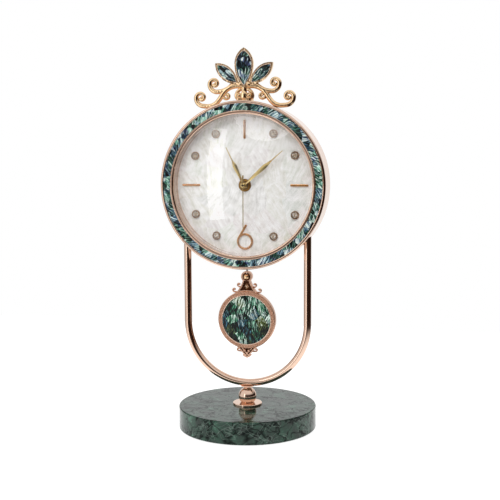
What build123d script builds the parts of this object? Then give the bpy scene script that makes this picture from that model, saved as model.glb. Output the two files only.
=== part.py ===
from build123d import *
import os
from math import asin, atan2, cos, degrees, hypot, radians, sin, sqrt

# A desk pendulum clock. Millimetres, +Z up, front towards -Y, origin at the middle of the base's
# underside. The bent-bar stand lies in the plane Y = 0, and the hands turn about a line along Y.

# Base and stem
base_diameter = 150.0
marble_thickness = 24.0
marble_edge_round = 1.2
pad_thickness = 1.0
pad_margin = 5.0
marble_bore = 7.0
nut_pocket_diameter = 22.0
nut_pocket_depth = 10.0
stud_diameter = 5.0
stud_overrun = 1.5
stud_depth_in_bar = 5.0
base_washer_diameter = 18.0
base_washer_thickness = 1.5
base_nut_flats = 8.0
base_nut_height = 4.0
flange_diameter = 32.0
flange_thickness = 2.0
flange_edge_round = 0.8
ball_diameter = 19.6
ball_seat_diameter = 14.0
neck_diameter = 7.4
collar_diameter = 14.4
collar_height = 2.7
collar_rim = 0.8
collar_flare_out = 1.0
collar_flare_up = 1.27
collar_grip = 0.9

# Bent bar stand
bar_diameter = 8.0
leg_inset = 22.5
leg_hole_clearance = 0.2
clamp_width = 21.0
clamp_height = 15.0
clamp_wall = 1.5
clamp_rim_gap = 1.0
clamp_screw_spacing = 14.5
clamp_screw_diameter = 3.0
clamp_head_diameter = 5.5
clamp_head_height = 1.8

# Drum case and back
case_diameter = 178.0
case_wall = 1.5
case_space = 15.5
back_edge_round = 3.0
back_flange_width = 11.5
ledge_width = 2.0
ledge_thickness = 1.5
cover_thickness = 1.2
cover_overlap = 6.0
cover_window_margin = 2.0
cover_corner_round = 4.0
cover_screw_count = 4
cover_screw_start = 45.0
cover_screw_diameter = 3.0
cover_head_diameter = 5.6
cover_head_height = 1.6
cover_screw_length = 2.4

# Bezel, lens and inner wall
bezel_band = 4.0
outer_lip_width = 3.2
inlay_width = 7.0
inner_lip_width = 3.9
groove_depth = 2.0
inlay_thickness = 1.5
web_thickness = 1.5
lip_round = 0.9
lip_crown = 1.7
spigot_length = 5.0
spigot_wall = 1.5
lens_thickness = 2.0
lens_rise = 11.0
lens_rim_width = 3.0
lens_side_gap = 0.4
gasket_thickness = 0.5
wall_ring_depth = 10.8
wall_ring_wall = 1.4
wall_ring_foot = 1.5

# Dial
dial_thickness = 1.0
carrier_thickness = 1.5
leg_gap = 1.0
hour_bar_margin = 5.9
hour_bar_length = 20.0
hour_bar_width = 2.3
hour_bar_height = 1.8
bar_edge_round = 0.6
cup_margin = 12.4
cup_diameter = 8.8
cup_height = 2.4
cup_rim = 1.1
cup_pocket_depth = 1.4
stone_girdle = 0.6
stone_crown = 1.2
stone_crown_slope = 42.0
stone_sides = 8
six_margin = 14.9
six_ring_radius = 7.7
six_stroke = 2.3
six_height = 1.8
six_tail_height = 17.0
six_tail_offset = 0.9

# Hands and centre hardware
hour_angle = 334.0
minute_angle = 49.0
second_angle = 180.0
blade_ridge = 0.9
hub_wall = 1.4
hub_length = 1.6
hand_gap = 0.7
hour_hand_margin = 30.4
hour_hand_width = 4.6
hour_widest_at = 23.3
hour_neck_at = 28.5
minute_hand_margin = 19.4
minute_hand_width = 4.8
minute_widest_at = 30.0
minute_neck_at = 40.0
hand_neck_width = 1.4
hand_tip_width = 0.8
hand_root_width = 1.8
second_hand_margin = 28.9
second_hand_thickness = 0.6
second_hand_tail = 10.6
second_hand_width = 0.9
second_tail_width = 1.8
second_cap_thickness = 0.8
centre_washer_diameter = 13.6
centre_washer_thickness = 0.6
centre_nut_diameter = 11.4
centre_nut_bevel = 0.6
centre_nut_height = 2.2
bush_diameter = 8.4
bush_overrun = 0.7

# Movement
movement_above = 28.0
movement_below = 52.0
movement_depth = 15.3
movement_wall = 1.5
movement_plate = 1.2
movement_corner_round = 4.0
partition_wall = 1.2
bay_height = 15.8
bay_top = 13.2
battery_diameter = 14.5
battery_length = 49.2
battery_nub_diameter = 5.5
battery_nub_length = 1.3
contact_room = 1.25
contact_thickness = 0.4
contact_button = 6.0
contact_height = 10.0
pivot_depth = 0.6
pivot_diameter = 0.8
arbor_diameter = 1.2
gear_thickness = 0.9
gear_gap = 0.4
second_arbor_diameter = 1.0
minute_pipe_diameter = 3.0
hour_pipe_wall = 0.9
motion_distance = 10.0
third_distance = 10.8
intermediate_distance = 10.5
rotor_distance = 10.1
setting_shaft_diameter = 3.0
setting_knob_diameter = 12.0
setting_knob_height = 3.6
setting_knob_gap = 0.4
knob_grooves = 16
knob_groove_diameter = 1.0
rotor_magnet_diameter = 5.0
rotor_magnet_length = 2.0
stator_thickness = 1.2
stator_hole_diameter = 6.0
stator_bar = 3.0
stator_pole_height = 10.0
stator_window_height = 4.6
stator_side = 2.6
stator_margin = 4.2
stator_post_diameter = 3.0
coil_length = 20.0
coil_diameter = 7.2
board_thickness = 1.0
board_width = 20.0
board_height = 11.0
crystal_diameter = 2.0
crystal_length = 6.0

# Pendulum
pivot_drop = 35.0
swing_limit = 10.0
pivot_pin_diameter = 1.8
arm_hub_diameter = 6.4
arm_width = 4.4
arm_thickness = 3.0
arm_reach = 24.5
hook_window_height = 5.0
hook_window_width = 2.8
magnet_drop = 9.0
magnet_diameter = 6.0
magnet_thickness = 1.8
drive_coil_diameter = 12.0
drive_coil_bore = 3.0
drive_coil_gap = 0.6
rod_diameter = 2.0
hook_radius = 2.9
hook_return = 3.0
rod_slot_depth = 7.0
rod_jog_start = 8.0
rod_jog_length = 8.0
slot_clearance = 1.2
eye_gap = 10.0
eye_diameter = 12.0
hanger_thickness = 6.0
eye_recess = 3.0
eye_rim = 1.7
bead_diameter = 6.2
rod_socket_depth = 3.0
hanger_neck = 15.6
bob_diameter = 63.4
bob_thickness = 8.0
bob_rim_width = 5.0
bob_web = 3.4
bob_recess = 2.4
bob_inlay_thickness = 1.6
bob_rim_round = 1.2
hanger_half_width = 11.8
hanger_shoulder = 3.6
hanger_waist = 6.5
hanger_rim = 1.5
hanger_sill = 0.8
hanger_recess = 2.2
curl_radius = 2.0
curl_wire_radius = 0.9
curl_end_radius = 0.6
upper_curl_height = 11.7
lower_curl_height = 17.4
jewel_width = 4.8
jewel_height = 7.0
jewel_rise = 1.9
jewel_slope = 40.0
jewel_gap = 1.0
drop_clearance = 23.37
drop_half_width = 11.8
drop_waist = 5.4
drop_tip = 10.9
drop_thickness = 4.0
drop_rim = 1.3
drop_recess = 1.6
drop_bead_diameter = 3.4
drop_bead_spread = 2.4
drop_bead_fall = 2.4
drop_band_width = 1.1
drop_band_fall = 5.6
drop_band_lean = 48.0
drop_wing_length = 5.0
drop_wing_width = 1.7
drop_wing_spread = 2.6
drop_wing_rise = 2.6
drop_wing_lean = 30.0
drop_curl_radius = 1.5
drop_curl_spread = 5.9
drop_curl_fall = 3.4

# Crest
crest_depth = 9.0
crest_foot_width = 15.2
crest_foot_height = 4.0
crest_foot_front = 3.2
crest_foot_back = 12.0
crest_screw_spacing = 8.0
crest_screw_diameter = 3.0
crest_head_diameter = 5.4
crest_head_height = 1.6
crest_screw_reach = 3.2
scroll_set_depth = 0.7
upper_volute_radius = 4.7
lower_volute_radius = 5.0
small_volute_radius = 3.6
foot_volute_radius = 3.1
scroll_start_radius = 2.5
scroll_neck_radius = 2.0
scroll_end_radius = 1.2
small_scroll_start_radius = 1.5
small_scroll_neck_radius = 1.4
small_scroll_end_radius = 0.9
eye_sink = 0.3
leaf_knuckle_radius = 2.8
leaf_thickness = 4.0
leaf_rim = 1.5
leaf_point_share = 1.9
leaf_pocket = 1.5
leaf_inlay_thickness = 1.3
centre_leaf_foot = 13.0
centre_leaf_height = 42.2
centre_leaf_width = 20.0
centre_leaf_widest = 25.4
side_leaf_angle = 48.5
side_leaf_length = 33.4
side_leaf_width = 14.2
side_leaf_widest = 18.0
side_leaf_root_x = 6.0
side_leaf_root_z = 17.2
stem_width = 6.4
stem_depth = 4.9
stem_top_width = 5.0
stem_top_depth = 3.6

# Fits
running_clearance = 0.1
seat_clearance = 0.05
stud_clearance = 0.1
drum_clearance = 0.15
swing_clearance = 0.3

# Radii of the case
case_radius = case_diameter / 2
case_bore = case_radius - case_wall
ledge_radius = case_bore - ledge_width
back_opening = case_bore - back_flange_width
cover_radius = back_opening + cover_overlap
cover_screw_circle = back_opening + cover_overlap / 2
inlay_outer = case_radius - outer_lip_width
inlay_inner = inlay_outer - inlay_width
aperture = inlay_inner - inner_lip_width
inside_fit = case_bore - drum_clearance
leg_x = case_radius - leg_inset

# Heights through the base and stem
base_top = pad_thickness + marble_thickness
flange_top = base_top + flange_thickness
ball_radius = ball_diameter / 2
ball_centre = flange_top + sqrt(ball_radius**2 - (ball_seat_diameter / 2) ** 2)
neck_height = ball_centre + sqrt(ball_radius**2 - (neck_diameter / 2) ** 2)
collar_top = neck_height + collar_height
bar_radius = bar_diameter / 2
bar_low = collar_top - collar_grip
bend_radius = leg_x
bend_centre = bar_low + bar_radius + bend_radius
pocket_top = pad_thickness + nut_pocket_depth
washer_low = pocket_top - base_washer_thickness
nut_low = washer_low - base_nut_height
stud_low = nut_low - stud_overrun
stud_bore = stud_diameter / 2 + stud_clearance

# The pendulum hangs clear of the bar, and the dial sits above it
bob_radius = bob_diameter / 2
eye_drop = case_radius + eye_gap
bob_drop = eye_drop + hanger_neck + bob_radius
bob_centre = bar_low + bar_diameter + drop_clearance + drop_tip + bob_radius
dial_height = bob_centre + bob_drop
eye_height = dial_height - eye_drop

# Markers and hands, set in from the edge of the dial that is seen
bar_outer_radius = aperture - hour_bar_margin
bar_inner_radius = bar_outer_radius - hour_bar_length
cup_circle_radius = aperture - cup_margin
six_drop = aperture - six_margin
hour_hand_length = aperture - hour_hand_margin
minute_hand_length = aperture - minute_hand_margin
second_hand_length = aperture - second_hand_margin

# Depths through the case, from the carrier plate forwards and backwards
carrier_back = -(bar_radius + leg_gap)
dial_back = carrier_back - carrier_thickness
dial_front = dial_back - dial_thickness
wall_ring_front = dial_front - wall_ring_depth
lens_back = wall_ring_front - gasket_thickness
web_back = lens_back - lens_thickness
groove_floor = web_back - web_thickness
bezel_front = groove_floor - groove_depth
seam = bezel_front + bezel_band
ledge_back = carrier_back + ledge_thickness
flange_inside = carrier_back + case_space
case_back = flange_inside + case_wall
cover_back = case_back + cover_thickness

# Where the legs are clamped inside the case
clamp_reach = sqrt((ledge_radius - seat_clearance) ** 2 - (leg_x + clamp_width / 2) ** 2)
clamp_low = dial_height - clamp_reach + clamp_rim_gap
leg_top = clamp_low + clamp_height
clamp_back = bar_radius + seat_clearance + clamp_wall
clamp_screw_places = [
    (side * leg_x + end * clamp_screw_spacing / 2, clamp_low + clamp_height / 2)
    for side in (-1, 1)
    for end in (-1, 1)
]

# Movement levels and compartments, heights relative to the hand axis
movement_front = carrier_back
movement_inside = movement_front + movement_plate
movement_back = movement_front + movement_depth
cover_inside = movement_back - movement_plate
inner_half_width = (battery_length + battery_nub_length) / 2 + contact_room
movement_width = 2 * (inner_half_width + movement_wall)
bay_low = -bay_top - bay_height
gear_room_low = -bay_top + partition_wall
swing_room_top = bay_low - partition_wall
swing_room_low = -movement_below + movement_wall
battery_y = movement_inside + running_clearance + battery_diameter / 2
battery_z = -bay_top - bay_height / 2

# Swing of the pendulum and the slots it needs
arm_end = -pivot_drop - arm_reach
swing_tangent = sin(radians(swing_limit)) / cos(radians(swing_limit))
arm_slot_half = (movement_below - pivot_drop) * swing_tangent + arm_width / 2 + slot_clearance
rod_slot_half = (case_radius - pivot_drop) * swing_tangent + rod_diameter / 2 + slot_clearance

# Centre stack
second_arbor = second_arbor_diameter / 2
minute_bore = second_arbor + running_clearance
minute_pipe = minute_pipe_diameter / 2
hour_bore = minute_pipe + running_clearance
hour_pipe = hour_bore + hour_pipe_wall
bush_bore = hour_pipe + running_clearance
bush_radius = bush_diameter / 2
nut_front = dial_front - centre_washer_thickness - centre_nut_height
bush_front = nut_front - bush_overrun
hour_hub_back = bush_front - hand_gap / 2
hour_hub_front = hour_hub_back - hub_length
minute_hub_back = hour_hub_front - hand_gap
minute_hub_front = minute_hub_back - hub_length
second_hub_back = minute_hub_front - hand_gap


def facing(depth, height=dial_height):
    """A plane square to the hand axis, seen from the front: x to the right, y up, normal forwards."""
    return Plane((0, depth, height), x_dir=(1, 0, 0), z_dir=(0, -1, 0))


def hand_plane(depth, angle):
    """A front-facing plane whose y direction points along a hand at a clock angle."""
    turn = radians(angle)
    return Plane((0, depth, dial_height), x_dir=(cos(turn), 0, -sin(turn)), z_dir=(0, -1, 0))


def half_section(height):
    """The half plane for turning a ring about an axis along Y: x is depth, y is radius."""
    return Plane((0, 0, height), x_dir=(0, 1, 0), z_dir=(1, 0, 0))


dial_axis = Axis((0, 0, dial_height), (0, 1, 0))
bob_axis = Axis((0, 0, bob_centre), (0, 1, 0))
upright = Plane.XZ


def polar(radius, angle):
    """A point at a radius and an angle in degrees, anticlockwise from x."""
    return (radius * cos(radians(angle)), radius * sin(radians(angle)))


def clock_point(radius, angle):
    """A point at a radius and a clock angle in degrees, clockwise from twelve."""
    return (radius * sin(radians(angle)), radius * cos(radians(angle)))


def turned(points, height, axis):
    """A ring or disc turned about an axis along Y from (depth, radius) points."""
    with BuildSketch(half_section(height)) as section:
        with BuildLine():
            Polyline(*points, close=True)
        make_face()
    revolve(section.sketch, axis=axis)


def disc(plane, radius, amount, mode=Mode.ADD, centres=((0, 0),)):
    """Round discs of one size on a plane."""
    with BuildSketch(plane) as face:
        with Locations(*centres):
            Circle(radius)
    extrude(face.sketch, amount=amount, mode=mode)


# Tooth form shared by all wheels, in shares of the module and of the pitch angle
addendum = 0.85
dedendum = 1.2
tip_share = 0.10
root_share = 0.25


def gear_face(centre, teeth, module, phase):
    """A spur gear's outline round a centre, with one tooth at the phase angle."""
    tip = module * (teeth / 2 + addendum)
    root = module * (teeth / 2 - dedendum)
    pitch = 360 / teeth
    outline = []
    for tooth in range(teeth):
        middle = phase + tooth * pitch
        for radius, share in ((root, -root_share), (tip, -tip_share), (tip, tip_share), (root, root_share)):
            x, y = polar(radius, middle + share * pitch)
            outline.append((centre[0] + x, centre[1] + y))
    with BuildLine() as teeth_line:
        Polyline(*outline, close=True)
    make_face(teeth_line.edges())


def gear(layer, centre, teeth, module, phase):
    """One toothed layer of a wheel in the movement's stack of layers."""
    with BuildSketch(facing(layer_back(layer))) as face:
        gear_face(centre, teeth, module, phase)
    extrude(face.sketch, amount=gear_thickness)


def layer_back(layer):
    """The rear face of a gear layer, counted from the front plate."""
    return movement_inside + gear_gap + gear_thickness + layer * (gear_thickness + gear_gap)


def mesh_phase(driver_teeth, driver_phase, teeth, direction):
    """The phase that puts a gear's gap on its driver's tooth along the line of centres."""
    tooth = (direction - driver_phase) * driver_teeth / 360
    return direction + 180 - (0.5 - tooth) * 360 / teeth


def pinned_arbor(centre):
    """A wheel's arbor between the two plates, with a thinner pivot at each end."""
    front = movement_inside + running_clearance
    back = cover_inside - running_clearance
    disc(facing(back), arbor_diameter / 2, back - front, centres=(centre,))
    reach = back - front + 2 * (running_clearance + pivot_depth / 2)
    disc(facing(back + running_clearance + pivot_depth / 2), pivot_diameter / 2, reach, centres=(centre,))


# Wheel centres, relative to the hand axis as seen from the front, and tooth counts
motion_direction = 0.0
setting_direction = 0.0
third_direction = 60.0
intermediate_direction = 150.0
rotor_direction = 150.0
cannon_teeth = 12
motion_teeth = 36
motion_pinion_teeth = 10
hour_teeth = 40
setting_teeth = 12
centre_teeth = 64
third_pinion_teeth = 8
third_teeth = 60
second_pinion_teeth = 8
second_teeth = 60
intermediate_pinion_teeth = 10
intermediate_teeth = 60
rotor_teeth = 12
motion_module = 2 * motion_distance / (cannon_teeth + motion_teeth)
hour_module = 2 * motion_distance / (motion_pinion_teeth + hour_teeth)
centre_module = 2 * third_distance / (centre_teeth + third_pinion_teeth)
third_module = 2 * third_distance / (third_teeth + second_pinion_teeth)
second_module = 2 * intermediate_distance / (second_teeth + intermediate_pinion_teeth)
rotor_module = 2 * rotor_distance / (intermediate_teeth + rotor_teeth)
hand_centre = (0.0, 0.0)
motion_centre = polar(motion_distance, motion_direction)
setting_distance = motion_module * (motion_teeth + setting_teeth) / 2
setting_step = polar(setting_distance, setting_direction)
setting_centre = (motion_centre[0] + setting_step[0], motion_centre[1] + setting_step[1])
third_centre = polar(third_distance, third_direction)
intermediate_centre = polar(intermediate_distance, intermediate_direction)
rotor_step = polar(rotor_distance, rotor_direction)
rotor_centre = (intermediate_centre[0] + rotor_step[0], intermediate_centre[1] + rotor_step[1])
cannon_phase = motion_direction
motion_phase = mesh_phase(cannon_teeth, cannon_phase, motion_teeth, motion_direction)
setting_phase = mesh_phase(motion_teeth, motion_phase, setting_teeth, setting_direction)
motion_pinion_phase = motion_direction
hour_phase = mesh_phase(motion_pinion_teeth, motion_pinion_phase, hour_teeth, motion_direction + 180)
second_pinion_phase = third_direction
third_phase = mesh_phase(second_pinion_teeth, second_pinion_phase, third_teeth, third_direction)
third_pinion_phase = third_direction
centre_phase = mesh_phase(third_pinion_teeth, third_pinion_phase, centre_teeth, third_direction + 180)
second_phase = intermediate_direction
intermediate_pinion_phase = mesh_phase(
    second_teeth, second_phase, intermediate_pinion_teeth, intermediate_direction
)
intermediate_phase = rotor_direction
rotor_phase = mesh_phase(intermediate_teeth, intermediate_phase, rotor_teeth, rotor_direction)
pivoted_centres = (third_centre, intermediate_centre, rotor_centre)


def save(part, label):
    """Label a finished piece and write it."""
    part.label = label
    export_step(part, f"parts/{label}.step")


os.makedirs("parts", exist_ok=True)

# Base and stem

with BuildPart() as base_pad:
    with BuildSketch(Plane.XY):
        Circle(base_diameter / 2 - pad_margin)
    extrude(amount=pad_thickness)
save(base_pad.part, "base_pad")

with BuildPart() as marble_base:
    with BuildSketch(Plane.XY.offset(pad_thickness)):
        Circle(base_diameter / 2)
    extrude(amount=marble_thickness)
    fillet(marble_base.edges().filter_by(GeomType.CIRCLE), marble_edge_round)
    with BuildSketch(Plane.XY.offset(pad_thickness)):
        Circle(nut_pocket_diameter / 2)
    extrude(amount=nut_pocket_depth, mode=Mode.SUBTRACT)
    with BuildSketch(Plane.XY.offset(pocket_top)):
        Circle(marble_bore / 2)
    extrude(amount=marble_thickness, mode=Mode.SUBTRACT)
save(marble_base.part, "marble_base")

with BuildPart() as stem_stud:
    with BuildSketch(Plane.XY.offset(stud_low)):
        Circle(stud_diameter / 2)
    extrude(amount=bar_low + stud_depth_in_bar - stud_low)
    chamfer(stem_stud.edges().filter_by(GeomType.CIRCLE), stud_diameter / 8)
save(stem_stud.part, "stem_stud")

with BuildPart() as stem_nut:
    with BuildSketch(Plane.XY.offset(nut_low)):
        RegularPolygon(base_nut_flats / 2, 6, major_radius=False)
        Circle(stud_bore, mode=Mode.SUBTRACT)
    extrude(amount=base_nut_height)
save(stem_nut.part, "stem_nut")

with BuildPart() as stem_washer:
    with BuildSketch(Plane.XY.offset(washer_low)):
        Circle(base_washer_diameter / 2)
        Circle(stud_bore, mode=Mode.SUBTRACT)
    extrude(amount=base_washer_thickness)
save(stem_washer.part, "stem_washer")

with BuildPart() as stem_flange:
    with BuildSketch(Plane.XY.offset(base_top)):
        Circle(flange_diameter / 2)
    extrude(amount=flange_thickness)
    fillet(stem_flange.edges().group_by(Axis.Z)[-1], flange_edge_round)
    with BuildSketch(Plane.XY.offset(base_top)):
        Circle(stud_bore)
    extrude(amount=flange_thickness, mode=Mode.SUBTRACT)
save(stem_flange.part, "stem_flange")

with BuildPart() as stem_ball:
    with BuildSketch(upright):
        with BuildLine():
            Polyline(
                (ball_seat_diameter / 2, flange_top),
                (stud_bore, flange_top),
                (stud_bore, neck_height),
                (neck_diameter / 2, neck_height),
            )
            ThreePointArc(
                (neck_diameter / 2, neck_height),
                (ball_radius, ball_centre),
                (ball_seat_diameter / 2, flange_top),
            )
        make_face()
    revolve(axis=Axis.Z)
save(stem_ball.part, "stem_ball")

with BuildPart() as stem_collar:
    with BuildSketch(upright):
        with BuildLine():
            Polyline(
                (neck_diameter / 2, neck_height),
                (stud_bore, neck_height),
                (stud_bore, collar_top),
                (collar_diameter / 2, collar_top),
                (collar_diameter / 2, collar_top - collar_rim),
            )
            flare_x = neck_diameter / 2 + collar_flare_out
            flare_z = neck_height + collar_flare_up
            ThreePointArc(
                (collar_diameter / 2, collar_top - collar_rim),
                (flare_x, flare_z),
                (neck_diameter / 2, neck_height),
            )
        make_face()
    revolve(axis=Axis.Z)
    with BuildSketch(Plane.YZ):
        with Locations((0, bar_low + bar_radius)):
            Circle(bar_radius + seat_clearance)
    revolve(
        axis=Axis((0, 0, bend_centre), (0, 1, 0)),
        revolution_arc=360,
        mode=Mode.SUBTRACT,
    )
save(stem_collar.part, "stem_collar")

# Bent bar stand and the clamps that hold its ends

with BuildPart() as u_frame:
    with BuildLine(upright) as bar_path:
        left_leg = Line((-leg_x, leg_top), (-leg_x, bend_centre))
        bend = JernArc(left_leg @ 1, left_leg % 1, bend_radius, 180)
        Line(bend @ 1, (leg_x, leg_top))
    with BuildSketch(Plane(bar_path.line @ 0, z_dir=bar_path.line % 0)):
        Circle(bar_radius)
    sweep(path=bar_path.line)
    with BuildSketch(Plane.XY.offset(bar_low - collar_grip)):
        Circle(stud_bore)
    extrude(amount=collar_grip + stud_depth_in_bar + stud_clearance, mode=Mode.SUBTRACT)
save(u_frame.part, "u_frame")

with BuildPart() as leg_clamps:
    with BuildSketch(facing(carrier_back, clamp_low + clamp_height / 2)):
        with Locations((-leg_x, 0), (leg_x, 0)):
            RectangleRounded(clamp_width, clamp_height, clamp_wall)
    extrude(amount=carrier_back - clamp_back)
    with BuildSketch(Plane.XY.offset(clamp_low)):
        with Locations((-leg_x, 0), (leg_x, 0)):
            Circle(bar_radius + seat_clearance)
    extrude(amount=clamp_height, mode=Mode.SUBTRACT)
    with BuildSketch(facing(carrier_back, 0)):
        with Locations(*clamp_screw_places):
            Circle(clamp_screw_diameter / 2 + seat_clearance)
    extrude(amount=carrier_back - clamp_back, mode=Mode.SUBTRACT)
save(leg_clamps.part, "leg_clamps")

with BuildPart() as clamp_screws:
    disc(
        facing(clamp_back, 0),
        clamp_screw_diameter / 2,
        clamp_back - carrier_back + carrier_thickness,
        centres=clamp_screw_places,
    )
    disc(facing(clamp_back, 0), clamp_head_diameter / 2, -clamp_head_height, centres=clamp_screw_places)
    fillet(clamp_screws.edges().group_by(Axis.Y)[-1], clamp_head_height / 3)
save(clamp_screws.part, "clamp_screws")

# Drum case, bezel, lens and back

crest_screw_depth = ledge_back + crest_head_diameter / 2 + swing_clearance
crest_screw_places = [(side * crest_screw_spacing / 2, crest_screw_depth) for side in (-1, 1)]
crest_hole = crest_screw_diameter / 2 + running_clearance

with BuildPart() as case_drum:
    turned(
        [
            (seam, case_bore),
            (seam, case_radius),
            (case_back, case_radius),
            (case_back, back_opening),
            (flange_inside, back_opening),
            (flange_inside, case_bore),
            (ledge_back, case_bore),
            (ledge_back, ledge_radius),
            (carrier_back, ledge_radius),
            (carrier_back, case_bore),
        ],
        dial_height,
        dial_axis,
    )
    rear_rim = case_drum.edges().filter_by(GeomType.CIRCLE).group_by(Axis.Y)[-1].sort_by(SortBy.RADIUS)[-1]
    fillet(rear_rim, back_edge_round)
    with BuildSketch(Plane.XY.offset(dial_height - case_radius)):
        with Locations((-leg_x, 0), (leg_x, 0)):
            Circle(bar_radius + leg_hole_clearance)
        Rectangle(2 * rod_slot_half, rod_slot_depth)
    extrude(amount=case_radius - pivot_drop, mode=Mode.SUBTRACT)
    with BuildSketch(Plane.XY.offset(dial_height + pivot_drop)):
        with Locations(*crest_screw_places):
            Circle(crest_hole)
    extrude(amount=case_radius, mode=Mode.SUBTRACT)
    with BuildSketch(facing(case_back)):
        with PolarLocations(cover_screw_circle, cover_screw_count, start_angle=cover_screw_start):
            Circle(cover_screw_diameter / 2 + seat_clearance)
    extrude(amount=case_wall, mode=Mode.SUBTRACT)
save(case_drum.part, "case_drum")

spigot_outer = case_bore - drum_clearance
spigot_inner = spigot_outer - spigot_wall

with BuildPart() as bezel_ring:
    turned(
        [
            (bezel_front, case_radius),
            (bezel_front, inlay_outer),
            (groove_floor, inlay_outer),
            (groove_floor, inlay_inner),
            (bezel_front, inlay_inner),
            (bezel_front, aperture),
            (web_back, aperture),
            (web_back, spigot_inner),
            (seam + spigot_length, spigot_inner),
            (seam + spigot_length, spigot_outer),
            (seam, spigot_outer),
            (seam, case_radius),
        ],
        dial_height,
        dial_axis,
    )
    lips = bezel_ring.edges().filter_by(GeomType.CIRCLE).group_by(Axis.Y)[0].sort_by(SortBy.RADIUS)
    fillet(lips[1:3], lip_round)
    lips = bezel_ring.edges().filter_by(GeomType.CIRCLE).group_by(Axis.Y)[0].sort_by(SortBy.RADIUS)
    fillet([lips[0], lips[-1]], lip_crown)
save(bezel_ring.part, "bezel_ring")

with BuildPart() as bezel_inlay:
    with BuildSketch(facing(groove_floor)):
        Circle(inlay_outer - seat_clearance)
        Circle(inlay_inner + seat_clearance, mode=Mode.SUBTRACT)
    extrude(amount=inlay_thickness)
save(bezel_inlay.part, "bezel_inlay")

lens_radius = aperture - lens_side_gap
lens_rim = aperture + lens_rim_width
dome_radius = (lens_radius**2 + lens_rise**2) / (2 * lens_rise)
dome_centre = web_back - lens_rise + dome_radius


def dome_depth(radius, inset):
    """Depth of the lens dome at a radius, moved back by an inset."""
    return dome_centre - sqrt((dome_radius - inset) ** 2 - radius**2)


with BuildPart() as lens:
    with BuildSketch(half_section(dial_height)):
        with BuildLine():
            outer_top = (web_back - lens_rise, 0)
            outer_mid = (dome_depth(lens_radius / 2, 0), lens_radius / 2)
            ThreePointArc(outer_top, outer_mid, (web_back, lens_radius))
            inner_radius = lens_radius - lens_thickness
            inner_edge = dome_depth(inner_radius, lens_thickness)
            Polyline(
                (web_back, lens_radius),
                (web_back, lens_rim),
                (lens_back, lens_rim),
                (lens_back, inner_radius),
                (inner_edge, inner_radius),
            )
            inner_mid = (dome_depth(inner_radius / 2, lens_thickness), inner_radius / 2)
            inner_top = (dome_depth(0, lens_thickness), 0)
            ThreePointArc((inner_edge, inner_radius), inner_mid, inner_top)
            Line(inner_top, outer_top)
        make_face()
    revolve(axis=dial_axis)
save(lens.part, "lens")

with BuildPart() as lens_gasket:
    with BuildSketch(facing(wall_ring_front)):
        Circle(lens_rim)
        Circle(aperture, mode=Mode.SUBTRACT)
    extrude(amount=gasket_thickness)
save(lens_gasket.part, "lens_gasket")

with BuildPart() as inner_wall_ring:
    turned(
        [
            (wall_ring_front, aperture),
            (wall_ring_front, lens_rim),
            (wall_ring_front + wall_ring_wall, lens_rim),
            (wall_ring_front + wall_ring_wall, aperture + wall_ring_wall),
            (dial_front - wall_ring_foot, aperture + wall_ring_wall),
            (dial_front - wall_ring_foot, inside_fit),
            (dial_front, inside_fit),
            (dial_front, aperture),
        ],
        dial_height,
        dial_axis,
    )
save(inner_wall_ring.part, "inner_wall_ring")

with BuildPart() as carrier_plate:
    with BuildSketch(facing(carrier_back)):
        Circle(inside_fit)
        Circle(bush_radius + running_clearance, mode=Mode.SUBTRACT)
    extrude(amount=carrier_thickness)
    with BuildSketch(facing(carrier_back, 0)):
        with Locations(*clamp_screw_places):
            Circle(clamp_screw_diameter / 2 + seat_clearance)
    extrude(amount=carrier_thickness, mode=Mode.SUBTRACT)
save(carrier_plate.part, "carrier_plate")

with BuildPart() as back_cover:
    with BuildSketch(facing(case_back)):
        Circle(cover_radius)
        with Locations((0, (movement_above - movement_below) / 2)):
            RectangleRounded(
                movement_width + 2 * cover_window_margin,
                movement_above + movement_below + 2 * cover_window_margin,
                cover_corner_round,
                mode=Mode.SUBTRACT,
            )
        with PolarLocations(cover_screw_circle, cover_screw_count, start_angle=cover_screw_start):
            Circle(cover_screw_diameter / 2 + running_clearance, mode=Mode.SUBTRACT)
    extrude(amount=-cover_thickness)
save(back_cover.part, "back_cover")

with BuildPart() as cover_screws:
    with BuildSketch(facing(cover_back)):
        with PolarLocations(cover_screw_circle, cover_screw_count, start_angle=cover_screw_start):
            Circle(cover_screw_diameter / 2)
    extrude(amount=cover_screw_length)
    with BuildSketch(facing(cover_back)):
        with PolarLocations(cover_screw_circle, cover_screw_count, start_angle=cover_screw_start):
            Circle(cover_head_diameter / 2)
    extrude(amount=-cover_head_height)
    fillet(cover_screws.edges().group_by(Axis.Y)[-1], cover_head_height / 2)
save(cover_screws.part, "cover_screws")

# Dial and its markers

with BuildPart() as dial:
    with BuildSketch(facing(dial_back)):
        Circle(inside_fit)
        Circle(bush_radius + running_clearance, mode=Mode.SUBTRACT)
    extrude(amount=dial_thickness)
save(dial.part, "dial")

with BuildPart() as hour_bars:
    for quarter in (0, 90, 270):
        with BuildSketch(hand_plane(dial_front, quarter)):
            with Locations((0, (bar_inner_radius + bar_outer_radius) / 2)):
                SlotOverall(bar_outer_radius - bar_inner_radius, hour_bar_width, rotation=90)
        extrude(amount=hour_bar_height)
    fillet(hour_bars.edges().group_by(Axis.Y)[0], bar_edge_round)
save(hour_bars.part, "hour_bars")

cup_places = [clock_point(cup_circle_radius, 30 * hour) for hour in range(12) if hour % 3]
cup_pocket = cup_diameter / 2 - cup_rim

with BuildPart() as stone_cups:
    disc(facing(dial_front), cup_diameter / 2, cup_height, centres=cup_places)
    chamfer(stone_cups.edges().group_by(Axis.Y)[0], cup_rim / 2)
    disc(
        facing(dial_front - cup_height),
        cup_pocket,
        -cup_pocket_depth,
        mode=Mode.SUBTRACT,
        centres=cup_places,
    )
save(stone_cups.part, "stone_cups")

stone_floor = dial_front - cup_height + cup_pocket_depth

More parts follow.
